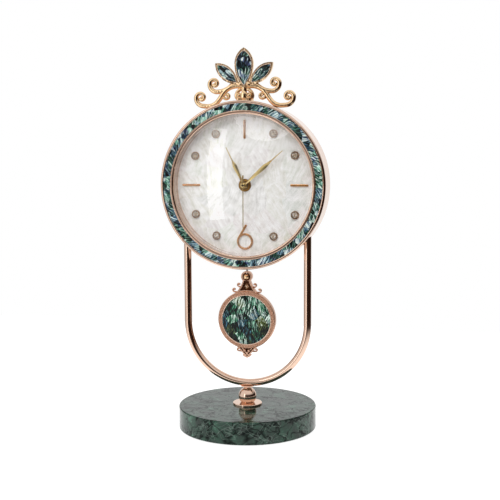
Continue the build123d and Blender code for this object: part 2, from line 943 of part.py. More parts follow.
with BuildPart() as hour_stones:
    with BuildSketch(facing(stone_floor)):
        with Locations(*cup_places):
            RegularPolygon(cup_pocket - seat_clearance, stone_sides)
    extrude(amount=stone_girdle)
    with BuildSketch(facing(stone_floor - stone_girdle)):
        with Locations(*cup_places):
            RegularPolygon(cup_pocket - seat_clearance, stone_sides)
    extrude(amount=stone_crown, taper=stone_crown_slope)
save(hour_stones.part, "hour_stones")

tail_span = hypot(six_tail_offset, six_tail_height)
tail_lean = degrees(asin(six_ring_radius / tail_span) + atan2(six_tail_offset, six_tail_height))
tail_length = sqrt(tail_span**2 - six_ring_radius**2)
tail_middle = (
    six_tail_offset - tail_length / 2 * sin(radians(tail_lean)),
    six_tail_height - six_drop - tail_length / 2 * cos(radians(tail_lean)),
)

with BuildPart() as numeral_six:
    with BuildSketch(facing(dial_front)):
        with Locations((0, -six_drop)):
            Circle(six_ring_radius + six_stroke / 2)
            Circle(six_ring_radius - six_stroke / 2, mode=Mode.SUBTRACT)
        with Locations(tail_middle):
            SlotCenterToCenter(tail_length, six_stroke, rotation=90 - tail_lean)
    extrude(amount=six_height)
    fillet(numeral_six.edges().group_by(Axis.Y)[0], bar_edge_round)
save(numeral_six.part, "numeral_six")

# Hands


def leaf_blade(depth, angle, length, width, widest_at, neck_at, root):
    """A leaf-shaped hand blade with a ridge along its front and a needle tip, from the hub outwards."""
    turn = radians(angle)
    sections = []
    for reach, wide in (
        (root, hand_root_width),
        (widest_at, width),
        (neck_at, hand_neck_width),
        (length, hand_tip_width),
    ):
        x, z = clock_point(reach, angle)
        across = Plane(
            (x, depth, dial_height + z),
            x_dir=(cos(turn), 0, -sin(turn)),
            z_dir=(sin(turn), 0, cos(turn)),
        )
        with BuildSketch(across) as section:
            with BuildLine() as roof:
                Polyline((-wide / 2, 0), (wide / 2, 0), (0, -blade_ridge), close=True)
            make_face(roof.edges())
        sections.append(section.sketch)
    loft(sections, ruled=True)


def hub(back, front, bore):
    """A hand's round hub on its pipe."""
    disc(facing(back), bore + hub_wall, back - front)
    chamfer(faces().sort_by(Axis.Y)[0].edges(), hub_wall / 4)
    disc(facing(back), bore + seat_clearance, back - front, mode=Mode.SUBTRACT)


blade_set = (hub_length - blade_ridge) / 2
strip_set = (hub_length - second_hand_thickness) / 2

with BuildPart() as hour_hand:
    hub(hour_hub_back, hour_hub_front, hour_pipe)
    leaf_blade(
        hour_hub_back - blade_set,
        hour_angle,
        hour_hand_length,
        hour_hand_width,
        hour_widest_at,
        hour_neck_at,
        hour_pipe + hub_wall / 2,
    )
save(hour_hand.part, "hour_hand")

with BuildPart() as minute_hand:
    hub(minute_hub_back, minute_hub_front, minute_pipe)
    leaf_blade(
        minute_hub_back - blade_set,
        minute_angle,
        minute_hand_length,
        minute_hand_width,
        minute_widest_at,
        minute_neck_at,
        minute_pipe + hub_wall / 2,
    )
save(minute_hand.part, "minute_hand")

with BuildPart() as second_hand:
    with BuildSketch(facing(second_hub_back)):
        Circle(second_arbor + hub_wall)
    extrude(amount=hub_length)
    fillet(faces().sort_by(Axis.Y)[0].edges(), hub_wall / 2)
    with BuildSketch(hand_plane(second_hub_back - strip_set, second_angle)):
        with BuildLine():
            Polyline(
                (-second_tail_width / 2, -second_hand_tail),
                (second_tail_width / 2, -second_hand_tail),
                (second_hand_width / 2, 0),
                (hand_tip_width / 2, second_hand_length),
                (-hand_tip_width / 2, second_hand_length),
                (-second_hand_width / 2, 0),
                close=True,
            )
        make_face()
    extrude(amount=second_hand_thickness)
    with BuildSketch(facing(second_hub_back)):
        Circle(second_arbor + seat_clearance)
    extrude(amount=hub_length - second_cap_thickness, mode=Mode.SUBTRACT)
save(second_hand.part, "second_hand")

with BuildPart() as centre_washer:
    with BuildSketch(facing(dial_front)):
        Circle(centre_washer_diameter / 2)
        Circle(bush_radius + running_clearance, mode=Mode.SUBTRACT)
    extrude(amount=centre_washer_thickness)
save(centre_washer.part, "centre_washer")

with BuildPart() as centre_nut:
    with BuildSketch(facing(nut_front)):
        Circle(centre_nut_diameter / 2)
    extrude(amount=-centre_nut_height)
    chamfer(centre_nut.edges().group_by(Axis.Y)[0], centre_nut_bevel)
    with BuildSketch(facing(nut_front)):
        Circle(bush_radius + seat_clearance)
    extrude(amount=-centre_nut_height, mode=Mode.SUBTRACT)
save(centre_nut.part, "centre_nut")

# Movement: moulded body and cover

room_bounds = (
    (gear_room_low, movement_above - movement_wall),
    (bay_low, -bay_top),
    (swing_room_low, swing_room_top),
)
motion_post = arbor_diameter / 2

with BuildPart() as movement_body:
    with BuildSketch(facing(movement_front)):
        with Locations((0, (movement_above - movement_below) / 2)):
            RectangleRounded(movement_width, movement_above + movement_below, movement_corner_round)
    extrude(amount=-(cover_inside - movement_front))
    with BuildSketch(facing(movement_inside)):
        for low, high in room_bounds:
            with Locations((0, (low + high) / 2)):
                Rectangle(2 * inner_half_width, high - low)
    extrude(amount=-(cover_inside - movement_inside), mode=Mode.SUBTRACT)
    disc(facing(movement_front), bush_radius, movement_front - bush_front)
    disc(facing(movement_inside), bush_bore, movement_inside - bush_front, mode=Mode.SUBTRACT)
    disc(
        facing(movement_inside),
        motion_post,
        -(gear_gap + 2 * (gear_thickness + gear_gap)),
        centres=(motion_centre,),
    )
    disc(
        facing(movement_inside),
        pivot_diameter / 2 + seat_clearance,
        pivot_depth,
        mode=Mode.SUBTRACT,
        centres=pivoted_centres,
    )
    with BuildSketch(Plane.XY.offset(dial_height - movement_below)):
        Rectangle(2 * arm_slot_half, arm_thickness + 2 * running_clearance + slot_clearance)
    extrude(amount=movement_wall, mode=Mode.SUBTRACT)
save(movement_body.part, "movement_body")

stator_front = layer_back(5) + gear_gap + (rotor_magnet_length - stator_thickness) / 2
stator_back = stator_front + stator_thickness
stator_left = rotor_centre[0] - stator_hole_diameter / 2 - stator_margin
stator_low = rotor_centre[1] - stator_pole_height / 2
stator_top = stator_low + stator_pole_height + stator_window_height + stator_bar
stator_right = stator_left + coil_length + 2 * (stator_side + 2 * running_clearance)
stator_posts = [
    (stator_left + stator_side / 2, stator_low + stator_pole_height / 2),
    (stator_right - stator_side / 2, stator_low + stator_pole_height / 2),
]

with BuildPart() as movement_cover:
    with BuildSketch(facing(cover_inside)):
        with Locations((0, (movement_above - movement_below) / 2)):
            RectangleRounded(movement_width, movement_above + movement_below, movement_corner_round)
        with Locations((0, battery_z)):
            Rectangle(2 * inner_half_width, bay_height, mode=Mode.SUBTRACT)
        with Locations(setting_centre):
            Circle(setting_shaft_diameter / 2 + running_clearance, mode=Mode.SUBTRACT)
    extrude(amount=-movement_plate)
    disc(facing(cover_inside), stator_post_diameter / 2, cover_inside - stator_back, centres=stator_posts)
    disc(
        facing(cover_inside),
        pivot_diameter / 2 + seat_clearance,
        -pivot_depth,
        mode=Mode.SUBTRACT,
        centres=(*pivoted_centres, hand_centre),
    )
save(movement_cover.part, "movement_cover")

# Movement: wheels

with BuildPart() as cannon_pinion:
    gear(1, hand_centre, cannon_teeth, motion_module, cannon_phase)
    disc(facing(layer_back(2) + gear_gap / 2), minute_pipe, layer_back(2) + gear_gap / 2 - minute_hub_front)
    disc(
        facing(layer_back(2) + gear_gap / 2),
        minute_bore,
        layer_back(2) + gear_gap / 2 - minute_hub_front,
        mode=Mode.SUBTRACT,
    )
save(cannon_pinion.part, "cannon_pinion")

with BuildPart() as hour_wheel:
    gear(0, hand_centre, hour_teeth, hour_module, hour_phase)
    disc(facing(layer_back(0)), hour_pipe, layer_back(0) - hour_hub_front)
    disc(facing(layer_back(0)), hour_bore, layer_back(0) - hour_hub_front, mode=Mode.SUBTRACT)
save(hour_wheel.part, "hour_wheel")

with BuildPart() as motion_wheel:
    gear(1, motion_centre, motion_teeth, motion_module, motion_phase)
    gear(0, motion_centre, motion_pinion_teeth, hour_module, motion_pinion_phase)
    pinion_core = hour_module * (motion_pinion_teeth / 2 - dedendum)
    disc(facing(layer_back(1)), pinion_core, layer_back(1) - layer_back(0), centres=(motion_centre,))
    disc(
        facing(layer_back(1)),
        motion_post + running_clearance,
        layer_back(1) - movement_inside,
        mode=Mode.SUBTRACT,
        centres=(motion_centre,),
    )
save(motion_wheel.part, "motion_wheel")

knob_front = movement_back + setting_knob_gap
knob_back = knob_front + setting_knob_height

with BuildPart() as setting_knob:
    gear(1, setting_centre, setting_teeth, motion_module, setting_phase)
    shaft_front = movement_inside + running_clearance
    disc(facing(knob_front), setting_shaft_diameter / 2, knob_front - shaft_front, centres=(setting_centre,))
    disc(facing(knob_back), setting_knob_diameter / 2, setting_knob_height, centres=(setting_centre,))
    with BuildSketch(facing(knob_back)):
        with Locations(setting_centre):
            with PolarLocations(setting_knob_diameter / 2, knob_grooves):
                Circle(knob_groove_diameter / 2)
    extrude(amount=setting_knob_height, mode=Mode.SUBTRACT)
save(setting_knob.part, "setting_knob")

with BuildPart() as centre_wheel:
    gear(2, hand_centre, centre_teeth, centre_module, centre_phase)
    disc(
        facing(layer_back(2)),
        minute_pipe + seat_clearance,
        gear_thickness,
        mode=Mode.SUBTRACT,
    )
save(centre_wheel.part, "centre_wheel")

with BuildPart() as third_wheel:
    gear(3, third_centre, third_teeth, third_module, third_phase)
    gear(2, third_centre, third_pinion_teeth, centre_module, third_pinion_phase)
    pinned_arbor(third_centre)
save(third_wheel.part, "third_wheel")

with BuildPart() as second_wheel:
    gear(4, hand_centre, second_teeth, second_module, second_phase)
    gear(3, hand_centre, second_pinion_teeth, third_module, second_pinion_phase)
    arbor_back = cover_inside + pivot_depth / 2
    arbor_front = second_hub_back - hub_length + second_cap_thickness + seat_clearance
    shoulder_back = cover_inside - running_clearance
    disc(facing(shoulder_back), second_arbor, shoulder_back - arbor_front)
    disc(facing(arbor_back), pivot_diameter / 2, arbor_back - layer_back(4))
save(second_wheel.part, "second_wheel")

with BuildPart() as intermediate_wheel:
    gear(5, intermediate_centre, intermediate_teeth, rotor_module, intermediate_phase)
    gear(4, intermediate_centre, intermediate_pinion_teeth, second_module, intermediate_pinion_phase)
    pinned_arbor(intermediate_centre)
save(intermediate_wheel.part, "intermediate_wheel")

with BuildPart() as stepper_rotor:
    gear(5, rotor_centre, rotor_teeth, rotor_module, rotor_phase)
    magnet_back = layer_back(5) + gear_gap + rotor_magnet_length
    disc(facing(magnet_back), rotor_magnet_diameter / 2, rotor_magnet_length, centres=(rotor_centre,))
    pinned_arbor(rotor_centre)
save(stepper_rotor.part, "stepper_rotor")

# Movement: stepper motor, board and cell

core_height = stator_top - stator_bar / 2
coil_middle = (stator_left + stator_right) / 2

with BuildPart() as stator:
    with BuildSketch(facing(stator_back)):
        with BuildLine():
            Polyline(
                (stator_left, stator_low),
                (stator_right, stator_low),
                (stator_right, stator_top),
                (stator_left, stator_top),
                close=True,
            )
        make_face()
        window_low = stator_low + stator_pole_height
        with Locations((coil_middle, window_low + stator_window_height / 2)):
            Rectangle(
                stator_right - stator_left - 2 * stator_side,
                stator_window_height,
                mode=Mode.SUBTRACT,
            )
        with Locations(rotor_centre):
            Circle(stator_hole_diameter / 2, mode=Mode.SUBTRACT)
        with Locations(intermediate_centre):
            Circle(arbor_diameter, mode=Mode.SUBTRACT)
    extrude(amount=stator_thickness)
save(stator.part, "stator")

with BuildPart() as stepper_coil:
    coil_depth = (stator_front + stator_back) / 2
    coil_end = Plane(
        (coil_middle - coil_length / 2, coil_depth, dial_height + core_height),
        x_dir=(0, 1, 0),
        z_dir=(1, 0, 0),
    )
    with BuildSketch(coil_end):
        Circle(coil_diameter / 2)
        Rectangle(
            stator_thickness + 2 * seat_clearance,
            stator_bar + 2 * seat_clearance,
            mode=Mode.SUBTRACT,
        )
    extrude(amount=coil_length)
save(stepper_coil.part, "stepper_coil")

board_centre = (
    inner_half_width - swing_clearance - board_width / 2,
    movement_above - movement_wall - swing_clearance - board_height / 2,
)

with BuildPart() as circuit_board:
    with BuildSketch(facing(cover_inside)):
        with Locations(board_centre):
            Rectangle(board_width, board_height)
    extrude(amount=board_thickness)
    crystal_end = Plane(
        (
            board_centre[0] - crystal_length / 2,
            cover_inside - board_thickness - crystal_diameter / 2 - seat_clearance,
            dial_height + board_centre[1] + board_height / 4,
        ),
        x_dir=(0, 1, 0),
        z_dir=(1, 0, 0),
    )
    with BuildSketch(crystal_end):
        Circle(crystal_diameter / 2)
    extrude(amount=crystal_length)
save(circuit_board.part, "circuit_board")

cell_start = -(battery_length + battery_nub_length) / 2
cell_plane = Plane((cell_start, battery_y, dial_height + battery_z), x_dir=(0, 1, 0), z_dir=(1, 0, 0))

with BuildPart() as battery:
    with BuildSketch(cell_plane):
        Circle(battery_diameter / 2)
    extrude(amount=battery_length)
    fillet(battery.edges().filter_by(GeomType.CIRCLE), battery_nub_length / 2)
    with BuildSketch(cell_plane):
        Circle(battery_nub_diameter / 2)
    extrude(amount=battery_length + battery_nub_length)
save(battery.part, "battery")

with BuildPart() as battery_contacts:
    for side in (-1, 1):
        wall_face = Plane(
            (side * inner_half_width, battery_y, dial_height + battery_z),
            x_dir=(0, 1, 0),
            z_dir=(-side, 0, 0),
        )
        with BuildSketch(wall_face):
            Rectangle(contact_height, contact_height)
        extrude(amount=contact_thickness)
        with BuildSketch(wall_face):
            Circle(contact_button / 2)
        extrude(amount=inner_half_width + cell_start - seat_clearance)
save(battery_contacts.part, "battery_contacts")

# Pendulum drive

pivot_point = (0, -pivot_drop)
magnet_point = (0, -pivot_drop - magnet_drop)

with BuildPart() as pivot_pin:
    pin_length = cover_inside - movement_inside
    disc(facing(cover_inside), pivot_pin_diameter / 2, pin_length, centres=(pivot_point,))
save(pivot_pin.part, "pivot_pin")

hub_half = -movement_inside - swing_clearance

with BuildPart() as swing_arm:
    with BuildSketch(facing(arm_thickness / 2)):
        with Locations((0, (-pivot_drop + arm_end) / 2)):
            Rectangle(arm_width, arm_reach)
        with Locations(magnet_point):
            Circle(magnet_diameter / 2 + seat_clearance)
    extrude(amount=arm_thickness)
    disc(facing(hub_half), arm_hub_diameter / 2, 2 * hub_half, centres=(pivot_point,))
    disc(
        facing(hub_half),
        pivot_pin_diameter / 2 + running_clearance,
        2 * hub_half,
        mode=Mode.SUBTRACT,
        centres=(pivot_point,),
    )
    with BuildSketch(facing(arm_thickness / 2)):
        with Locations((0, arm_end + arm_width / 2 + hook_window_height / 2)):
            Rectangle(hook_window_width, hook_window_height)
    extrude(amount=arm_thickness, mode=Mode.SUBTRACT)
save(swing_arm.part, "swing_arm")

with BuildPart() as arm_magnet:
    disc(facing(arm_thickness / 2), magnet_diameter / 2, -magnet_thickness, centres=(magnet_point,))
save(arm_magnet.part, "arm_magnet")

drive_coil_front = arm_thickness / 2 + magnet_thickness + drive_coil_gap

with BuildPart() as drive_coil:
    with BuildSketch(facing(cover_inside)):
        with Locations(magnet_point):
            Circle(drive_coil_diameter / 2)
            Circle(drive_coil_bore / 2, mode=Mode.SUBTRACT)
    extrude(amount=cover_inside - drive_coil_front)
save(drive_coil.part, "drive_coil")

# Pendulum

rod_radius = rod_diameter / 2
hook_rest = dial_height + arm_end + arm_width / 2
hook_inside = hook_radius - rod_radius
hook_centre = hook_rest + seat_clearance - sqrt(hook_inside**2 - (arm_thickness / 2) ** 2)
jog_top = hook_centre - rod_jog_start
rod_low = eye_height + eye_diameter / 2 - rod_socket_depth
jog_turn = degrees(2 * atan2(hook_radius, rod_jog_length))
jog_radius = rod_jog_length / 2 / sin(radians(jog_turn))

with BuildPart() as pendulum_rod:
    with BuildLine(Plane.YZ) as rod_path:
        tail_run = Line((-hook_radius, hook_centre - hook_return), (-hook_radius, hook_centre))
        over = JernArc(tail_run @ 1, tail_run % 1, hook_radius, -180)
        down = Line(over @ 1, (hook_radius, jog_top))
        jog_out = JernArc(down @ 1, down % 1, jog_radius, -jog_turn)
        jog_in = JernArc(jog_out @ 1, jog_out % 1, jog_radius, jog_turn)
        Line(jog_in @ 1, (0, rod_low))
    with BuildSketch(Plane(rod_path.line @ 0, z_dir=rod_path.line % 0)):
        Circle(rod_radius)
    sweep(path=rod_path.line)
save(pendulum_rod.part, "pendulum_rod")

bob_front = -bob_thickness / 2
bob_bore = bob_radius - bob_rim_width
inlay_seat = bob_front + bob_recess

with BuildPart() as bob_ring:
    turned(
        [
            (bob_front, bob_bore),
            (bob_front, bob_radius),
            (bob_thickness / 2, bob_radius),
            (bob_thickness / 2, bob_bore),
            (inlay_seat + bob_web, bob_bore),
            (inlay_seat + bob_web, 0),
            (inlay_seat, 0),
            (inlay_seat, bob_bore),
        ],
        bob_centre,
        bob_axis,
    )
    fillet(bob_ring.edges().filter_by(GeomType.CIRCLE).group_by(SortBy.RADIUS)[-1], bob_rim_round)
save(bob_ring.part, "bob_ring")

with BuildPart() as bob_inlay:
    disc(facing(inlay_seat, bob_centre), bob_bore - seat_clearance, bob_inlay_thickness)
save(bob_inlay.part, "bob_inlay")

# Spirals of the cast ornaments: each quarter turn is a share of the spiral's radius
volute_shares = (1.0, 0.8, 0.6, 0.45)


def scroll(plane, size, start, heading, bends, quarters, thick, neck, thin):
    """A tapering bar along tangent arcs, their radii shares of a size, that curls round an eye."""
    curl = 90 if bends[-1][1] > 0 else -90
    with BuildLine(plane) as stem:
        arc = None
        for share, turn in bends:
            if arc is None:
                arc = JernArc(start, polar(1, heading), share * size, turn)
            else:
                arc = JernArc(arc @ 1, arc % 1, share * size, turn)
    with BuildLine(plane) as volute:
        for share in volute_shares[:quarters]:
            arc = JernArc(arc @ 1, arc % 1, share * size, curl)
    for line, first, last in ((stem.line, thick, neck), (volute.line, neck, thin)):
        with BuildSketch(Plane(line @ 0, z_dir=line % 0)) as opening:
            Circle(first)
        with BuildSketch(Plane(line @ 1, z_dir=line % 1)) as ending:
            Circle(last)
        sweep(sections=[opening.sketch, ending.sketch], path=line, multisection=True)
    with Locations(arc.center_point):
        Sphere(share * size - thin + eye_sink)


hanger_front = -hanger_thickness / 2
eye_radius = eye_diameter / 2
hanger_top = -eye_radius / 2
hanger_low = sqrt(bob_radius**2 - hanger_half_width**2) + bob_centre - eye_height
curl_bends = [(25, 6)]
curl_wires = (curl_wire_radius, curl_wire_radius, curl_end_radius)


def hanger_outline():
    """The hanger's bell-shaped front view, from the eye down to the bob's rim."""
    middle = (hanger_top + hanger_low) / 2
    with BuildLine() as bell:
        shoulder = (hanger_shoulder, hanger_top)
        right = ThreePointArc(shoulder, (hanger_waist, middle), (hanger_half_width, hanger_low))
        foot = Line(right @ 1, (-hanger_half_width, hanger_low))
        left = ThreePointArc(foot @ 1, (-hanger_waist, middle), (-hanger_shoulder, hanger_top))
        Line(left @ 1, right @ 0)
    make_face(bell.edges())


with BuildPart() as pendulum_hanger:
    for x, fall in (
        (hanger_waist - 2 * hanger_rim, upper_curl_height),
        (hanger_half_width - 2 * hanger_rim, lower_curl_height),
    ):
        scroll(facing(0, eye_height), curl_radius, (x, -fall), 0, curl_bends, 3, *curl_wires)
    mirror(about=Plane.YZ)
    with BuildSketch(facing(-hanger_front, eye_height)):
        hanger_outline()
        Circle(eye_radius)
    extrude(amount=hanger_thickness)
    with BuildSketch(facing(hanger_front, eye_height)):
        hanger_outline()
        offset(amount=-hanger_rim, kind=Kind.INTERSECTION)
        with Locations((0, bob_centre - eye_height)):
            Circle(bob_radius + hanger_sill, mode=Mode.SUBTRACT)
    extrude(amount=-hanger_recess, mode=Mode.SUBTRACT)
    disc(facing(hanger_front, eye_height), eye_radius - eye_rim, -eye_recess, mode=Mode.SUBTRACT)
    with BuildSketch(facing(-hanger_front, bob_centre)):
        Circle(bob_radius + seat_clearance)
    extrude(amount=hanger_thickness, mode=Mode.SUBTRACT)
    with BuildSketch(Plane.XY.offset(rod_low)):
        Circle(rod_radius + seat_clearance)
    extrude(amount=rod_socket_depth + eye_radius, mode=Mode.SUBTRACT)
save(pendulum_hanger.part, "pendulum_hanger")

with BuildPart() as hanger_bead:
    with Locations((0, hanger_front + eye_recess - bead_diameter / 2, eye_height)):
        Sphere(bead_diameter / 2)
save(hanger_bead.part, "hanger_bead")

jewel_floor = hanger_front + hanger_recess
jewel_middle = bob_centre + bob_radius + jewel_gap + jewel_height / 2

with BuildPart() as hanger_jewel:
    with BuildSketch(facing(jewel_floor, jewel_middle)):
        with BuildLine():
            Polyline(
                (jewel_width / 2, 0),
                (0, jewel_height / 2),
                (-jewel_width / 2, 0),
                (0, -jewel_height / 2),
                close=True,
            )
        make_face()
    extrude(amount=jewel_rise, taper=jewel_slope)
save(hanger_jewel.part, "hanger_jewel")

drop_top = -sqrt(bob_radius**2 - drop_half_width**2)
drop_low = -bob_radius - drop_tip
drop_front = -drop_thickness / 2


def drop_outline(mode=Mode.ADD):
    """The drop ornament's pointed front view, from the bob's rim down to its tip."""
    middle = (drop_top + drop_low) / 2
    with BuildLine() as shield:
        right = ThreePointArc((drop_half_width, drop_top), (drop_waist, middle), (0, drop_low))
        left = ThreePointArc(right @ 1, (-drop_waist, middle), (-drop_half_width, drop_top))
        Line(left @ 1, right @ 0)
    make_face(shield.edges(), mode=mode)


with BuildPart() as bob_drop_ornament:
    scroll(
        facing(0, bob_centre),
        drop_curl_radius,
        (drop_curl_spread, -bob_radius - drop_curl_fall),
        0,
        curl_bends,
        3,
        *curl_wires,
    )
    mirror(about=Plane.YZ)
    with BuildSketch(facing(-drop_front, bob_centre)):
        drop_outline()
        for side in (-1, 1):
            with Locations((side * drop_wing_spread, drop_low + drop_wing_rise)):
                Ellipse(drop_wing_length / 2, drop_wing_width / 2, rotation=side * drop_wing_lean)
    extrude(amount=drop_thickness)
    with BuildSketch(facing(drop_front, bob_centre)):
        drop_outline()
        offset(amount=-drop_rim, kind=Kind.INTERSECTION)
    extrude(amount=-drop_recess, mode=Mode.SUBTRACT)
    with BuildSketch(facing(drop_front + drop_recess, bob_centre)):
        for side in (-1, 1):
            with Locations((0, -bob_radius - drop_band_fall)):
                Rectangle(2 * drop_tip, drop_band_width, rotation=side * drop_band_lean)
        drop_outline(mode=Mode.INTERSECT)
    extrude(amount=drop_recess)
    for side in (-1, 1):
        with Locations((side * drop_bead_spread, drop_front, bob_centre - bob_radius - drop_bead_fall)):
            Sphere(drop_bead_diameter / 2)
    with BuildSketch(facing(bob_thickness, bob_centre)):
        Circle(bob_radius + seat_clearance)
    extrude(amount=2 * bob_thickness, mode=Mode.SUBTRACT)
save(bob_drop_ornament.part, "bob_drop_ornament")

# Crest

crest_seat = dial_height + case_radius
scroll_plane = facing(scroll_set_depth - crest_depth, crest_seat)


def leaf_outline(height, width, widest, inset):
    """A pointed leaf standing on its root, drawn in by an inset."""
    half = width / 2 - inset
    low = inset * leaf_point_share
    top = height - low
    low_arc = -((widest - low) ** 2 + half**2) / (2 * half)
    top_arc = -((top - widest) ** 2 + half**2) / (2 * half)
    with BuildLine() as leaf:
        right_low = RadiusArc((0, low), (half, widest), low_arc)
        right_top = RadiusArc(right_low @ 1, (0, top), top_arc)
        left_top = RadiusArc(right_top @ 1, (-half, widest), top_arc)
        RadiusArc(left_top @ 1, right_low @ 0, low_arc)
    make_face(leaf.edges())


def leaf_plane(depth, x, z, lean):
    """A front-facing plane at a leaf's root, leaning to the right by an angle."""
    turn = radians(lean)
    return Plane((x, depth, crest_seat + z), x_dir=(cos(turn), 0, -sin(turn)), z_dir=(0, -1, 0))


leaf_back = -crest_depth + leaf_thickness / 2
leaf_front = leaf_back - leaf_thickness
side_leaf = (side_leaf_length, side_leaf_width, side_leaf_widest)
leaves = [
    (0, centre_leaf_foot, 0, centre_leaf_height, centre_leaf_width, centre_leaf_widest),
    (side_leaf_root_x, side_leaf_root_z, side_leaf_angle, *side_leaf),
    (-side_leaf_root_x, side_leaf_root_z, -side_leaf_angle, *side_leaf),
]

# Stems of the scrolls, right-hand side: start, heading and bends, in shares of each spiral's radius
upper_start = (0.32 * upper_volute_radius, 3.66 * upper_volute_radius)
upper_bends = [(3.6, -25), (2.98, -28), (5.1, 38), (1.7, 90)]
lower_start = (0.30 * lower_volute_radius, 3.0 * lower_volute_radius)
lower_bends = [(7.4, -10), (3.78, -60), (8.0, 12), (2.8, 48), (8.8, 8), (1.66, 82)]
small_start = (6.36 * small_volute_radius, 2.5 * small_volute_radius)
small_bends = [(10.0, -5)]
foot_start = (0.84 * foot_volute_radius, 3.84 * foot_volute_radius)
foot_bends = [(2.26, -85)]
thick_wire = (scroll_start_radius, scroll_neck_radius, scroll_end_radius)
small_wire = (small_scroll_start_radius, small_scroll_neck_radius, small_scroll_end_radius)

with BuildPart() as crest_casting:
    scroll(scroll_plane, upper_volute_radius, upper_start, 15, upper_bends, 4, *thick_wire)
    scroll(scroll_plane, lower_volute_radius, lower_start, 10, lower_bends, 4, *thick_wire)
    scroll(scroll_plane, small_volute_radius, small_start, -85, small_bends, 4, *small_wire)
    scroll(scroll_plane, foot_volute_radius, foot_start, -5, foot_bends, 3, *small_wire)
    with Locations((side_leaf_root_x - leaf_knuckle_radius / 2, -crest_depth, crest_seat + side_leaf_root_z)):
        Sphere(leaf_knuckle_radius)
    mirror(about=Plane.YZ)
    with BuildSketch(Plane.XY.offset(crest_seat + crest_foot_height)):
        with Locations((0, -crest_depth)):
            Ellipse(stem_width / 2, stem_depth / 2)
    with BuildSketch(Plane.XY.offset(crest_seat + side_leaf_root_z + leaf_rim)):
        with Locations((0, -crest_depth)):
            Ellipse(stem_top_width / 2, stem_top_depth / 2)
    loft()
    with BuildSketch(Plane.XY.offset(crest_seat - crest_foot_height)):
        with Locations((0, -crest_depth + (crest_foot_back - crest_foot_front) / 2)):
            RectangleRounded(crest_foot_width, crest_foot_back + crest_foot_front, crest_foot_front / 2)
    extrude(amount=2 * crest_foot_height)
    with BuildSketch(facing(case_back, dial_height)):
        Circle(case_radius)
    extrude(amount=case_back - bezel_front, mode=Mode.SUBTRACT)
    for x, z, lean, height, width, widest in leaves:
        with BuildSketch(leaf_plane(leaf_back, x, z, lean)):
            leaf_outline(height, width, widest, 0)
        extrude(amount=leaf_thickness)
    for x, z, lean, height, width, widest in leaves:
        with BuildSketch(leaf_plane(leaf_front, x, z, lean)):
            leaf_outline(height, width, widest, leaf_rim)
        extrude(amount=-leaf_pocket, mode=Mode.SUBTRACT)
    with BuildSketch(Plane.XY.offset(crest_seat - crest_foot_height)):
        with Locations(*crest_screw_places):
            Circle(crest_screw_diameter / 2 + seat_clearance)
    extrude(amount=crest_foot_height + crest_screw_reach, mode=Mode.SUBTRACT)
save(crest_casting.part, "crest_casting")

with BuildPart() as leaf_inlays:
    for x, z, lean, height, width, widest in leaves:
        with BuildSketch(leaf_plane(leaf_front + leaf_pocket, x, z, lean)):
            leaf_outline(height, width, widest, leaf_rim + seat_clearance)
        extrude(amount=leaf_inlay_thickness)
save(leaf_inlays.part, "leaf_inlays")

screw_seat = dial_height + sqrt(case_bore**2 - (crest_screw_spacing / 2 + crest_head_diameter / 2) ** 2)

with BuildPart() as crest_screws:
    with BuildSketch(Plane.XY.offset(screw_seat)):
        with Locations(*crest_screw_places):
            Circle(crest_screw_diameter / 2)
    extrude(amount=crest_seat + crest_screw_reach - running_clearance - screw_seat)
    with BuildSketch(Plane.XY.offset(screw_seat)):
        with Locations(*crest_screw_places):
            Circle(crest_head_diameter / 2)
    extrude(amount=-crest_head_height)
save(crest_screws.part, "crest_screws")
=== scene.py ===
from math import cos, pi, radians, sin, tan

import bmesh
import bpy
from bpy.props import FloatProperty, FloatVectorProperty, IntProperty, PointerProperty
from mathutils import Matrix, Vector


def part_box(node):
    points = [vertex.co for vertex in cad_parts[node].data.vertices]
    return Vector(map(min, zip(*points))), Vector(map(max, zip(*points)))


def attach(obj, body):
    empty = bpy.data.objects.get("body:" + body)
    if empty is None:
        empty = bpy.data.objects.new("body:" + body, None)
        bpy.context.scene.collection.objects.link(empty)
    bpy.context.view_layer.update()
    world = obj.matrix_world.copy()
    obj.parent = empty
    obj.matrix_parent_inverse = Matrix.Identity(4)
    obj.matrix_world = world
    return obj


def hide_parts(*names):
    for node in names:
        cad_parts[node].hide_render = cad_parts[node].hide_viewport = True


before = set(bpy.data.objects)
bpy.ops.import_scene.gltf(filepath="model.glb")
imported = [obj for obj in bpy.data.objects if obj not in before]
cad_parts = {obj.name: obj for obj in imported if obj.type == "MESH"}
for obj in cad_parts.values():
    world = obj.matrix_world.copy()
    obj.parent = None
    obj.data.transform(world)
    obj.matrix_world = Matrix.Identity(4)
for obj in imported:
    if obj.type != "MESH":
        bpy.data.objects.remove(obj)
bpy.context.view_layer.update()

bl_info = {
    "name": "Desk pendulum clock",
    "version": (1, 0, 0),
    "blender": (4, 5, 0),
    "location": "3D View > Sidebar > Clock",
    "description": "Finishes, small dressings and a studio for a shell-inlaid desk pendulum clock",
    "category": "Object",
}

MM = 0.001

# Meshes: points this close are one, edges this sharp stay, and a flat front lies and faces so
WELD = 0.01 * MM
SHARP = radians(30)
FRONT_ROOM = 0.1 * MM
FACING_FRONT = -0.99
# Points round a large and a small ring
LARGE_RING = 160
SMALL_RING = 40

# Plastic: spread of its roughness to each side of the mean
PLASTIC_HAZE = 0.08
# Brushing: lines per mm along x, y and z, coarser than real so that they show, and their depth
BRUSH_LINES = (0.02, 1.0, 2.2)
BRUSH_DEPTH = 0.3 * MM
# Dark floors: a hollow's floor faces the front, and lies behind this depth in mm
HOLLOW_FACING = -0.999
HOLLOW_DEPTH = -1.4
# Turning: spacing of the tool's rings in mm
TOOL_RING = 0.15
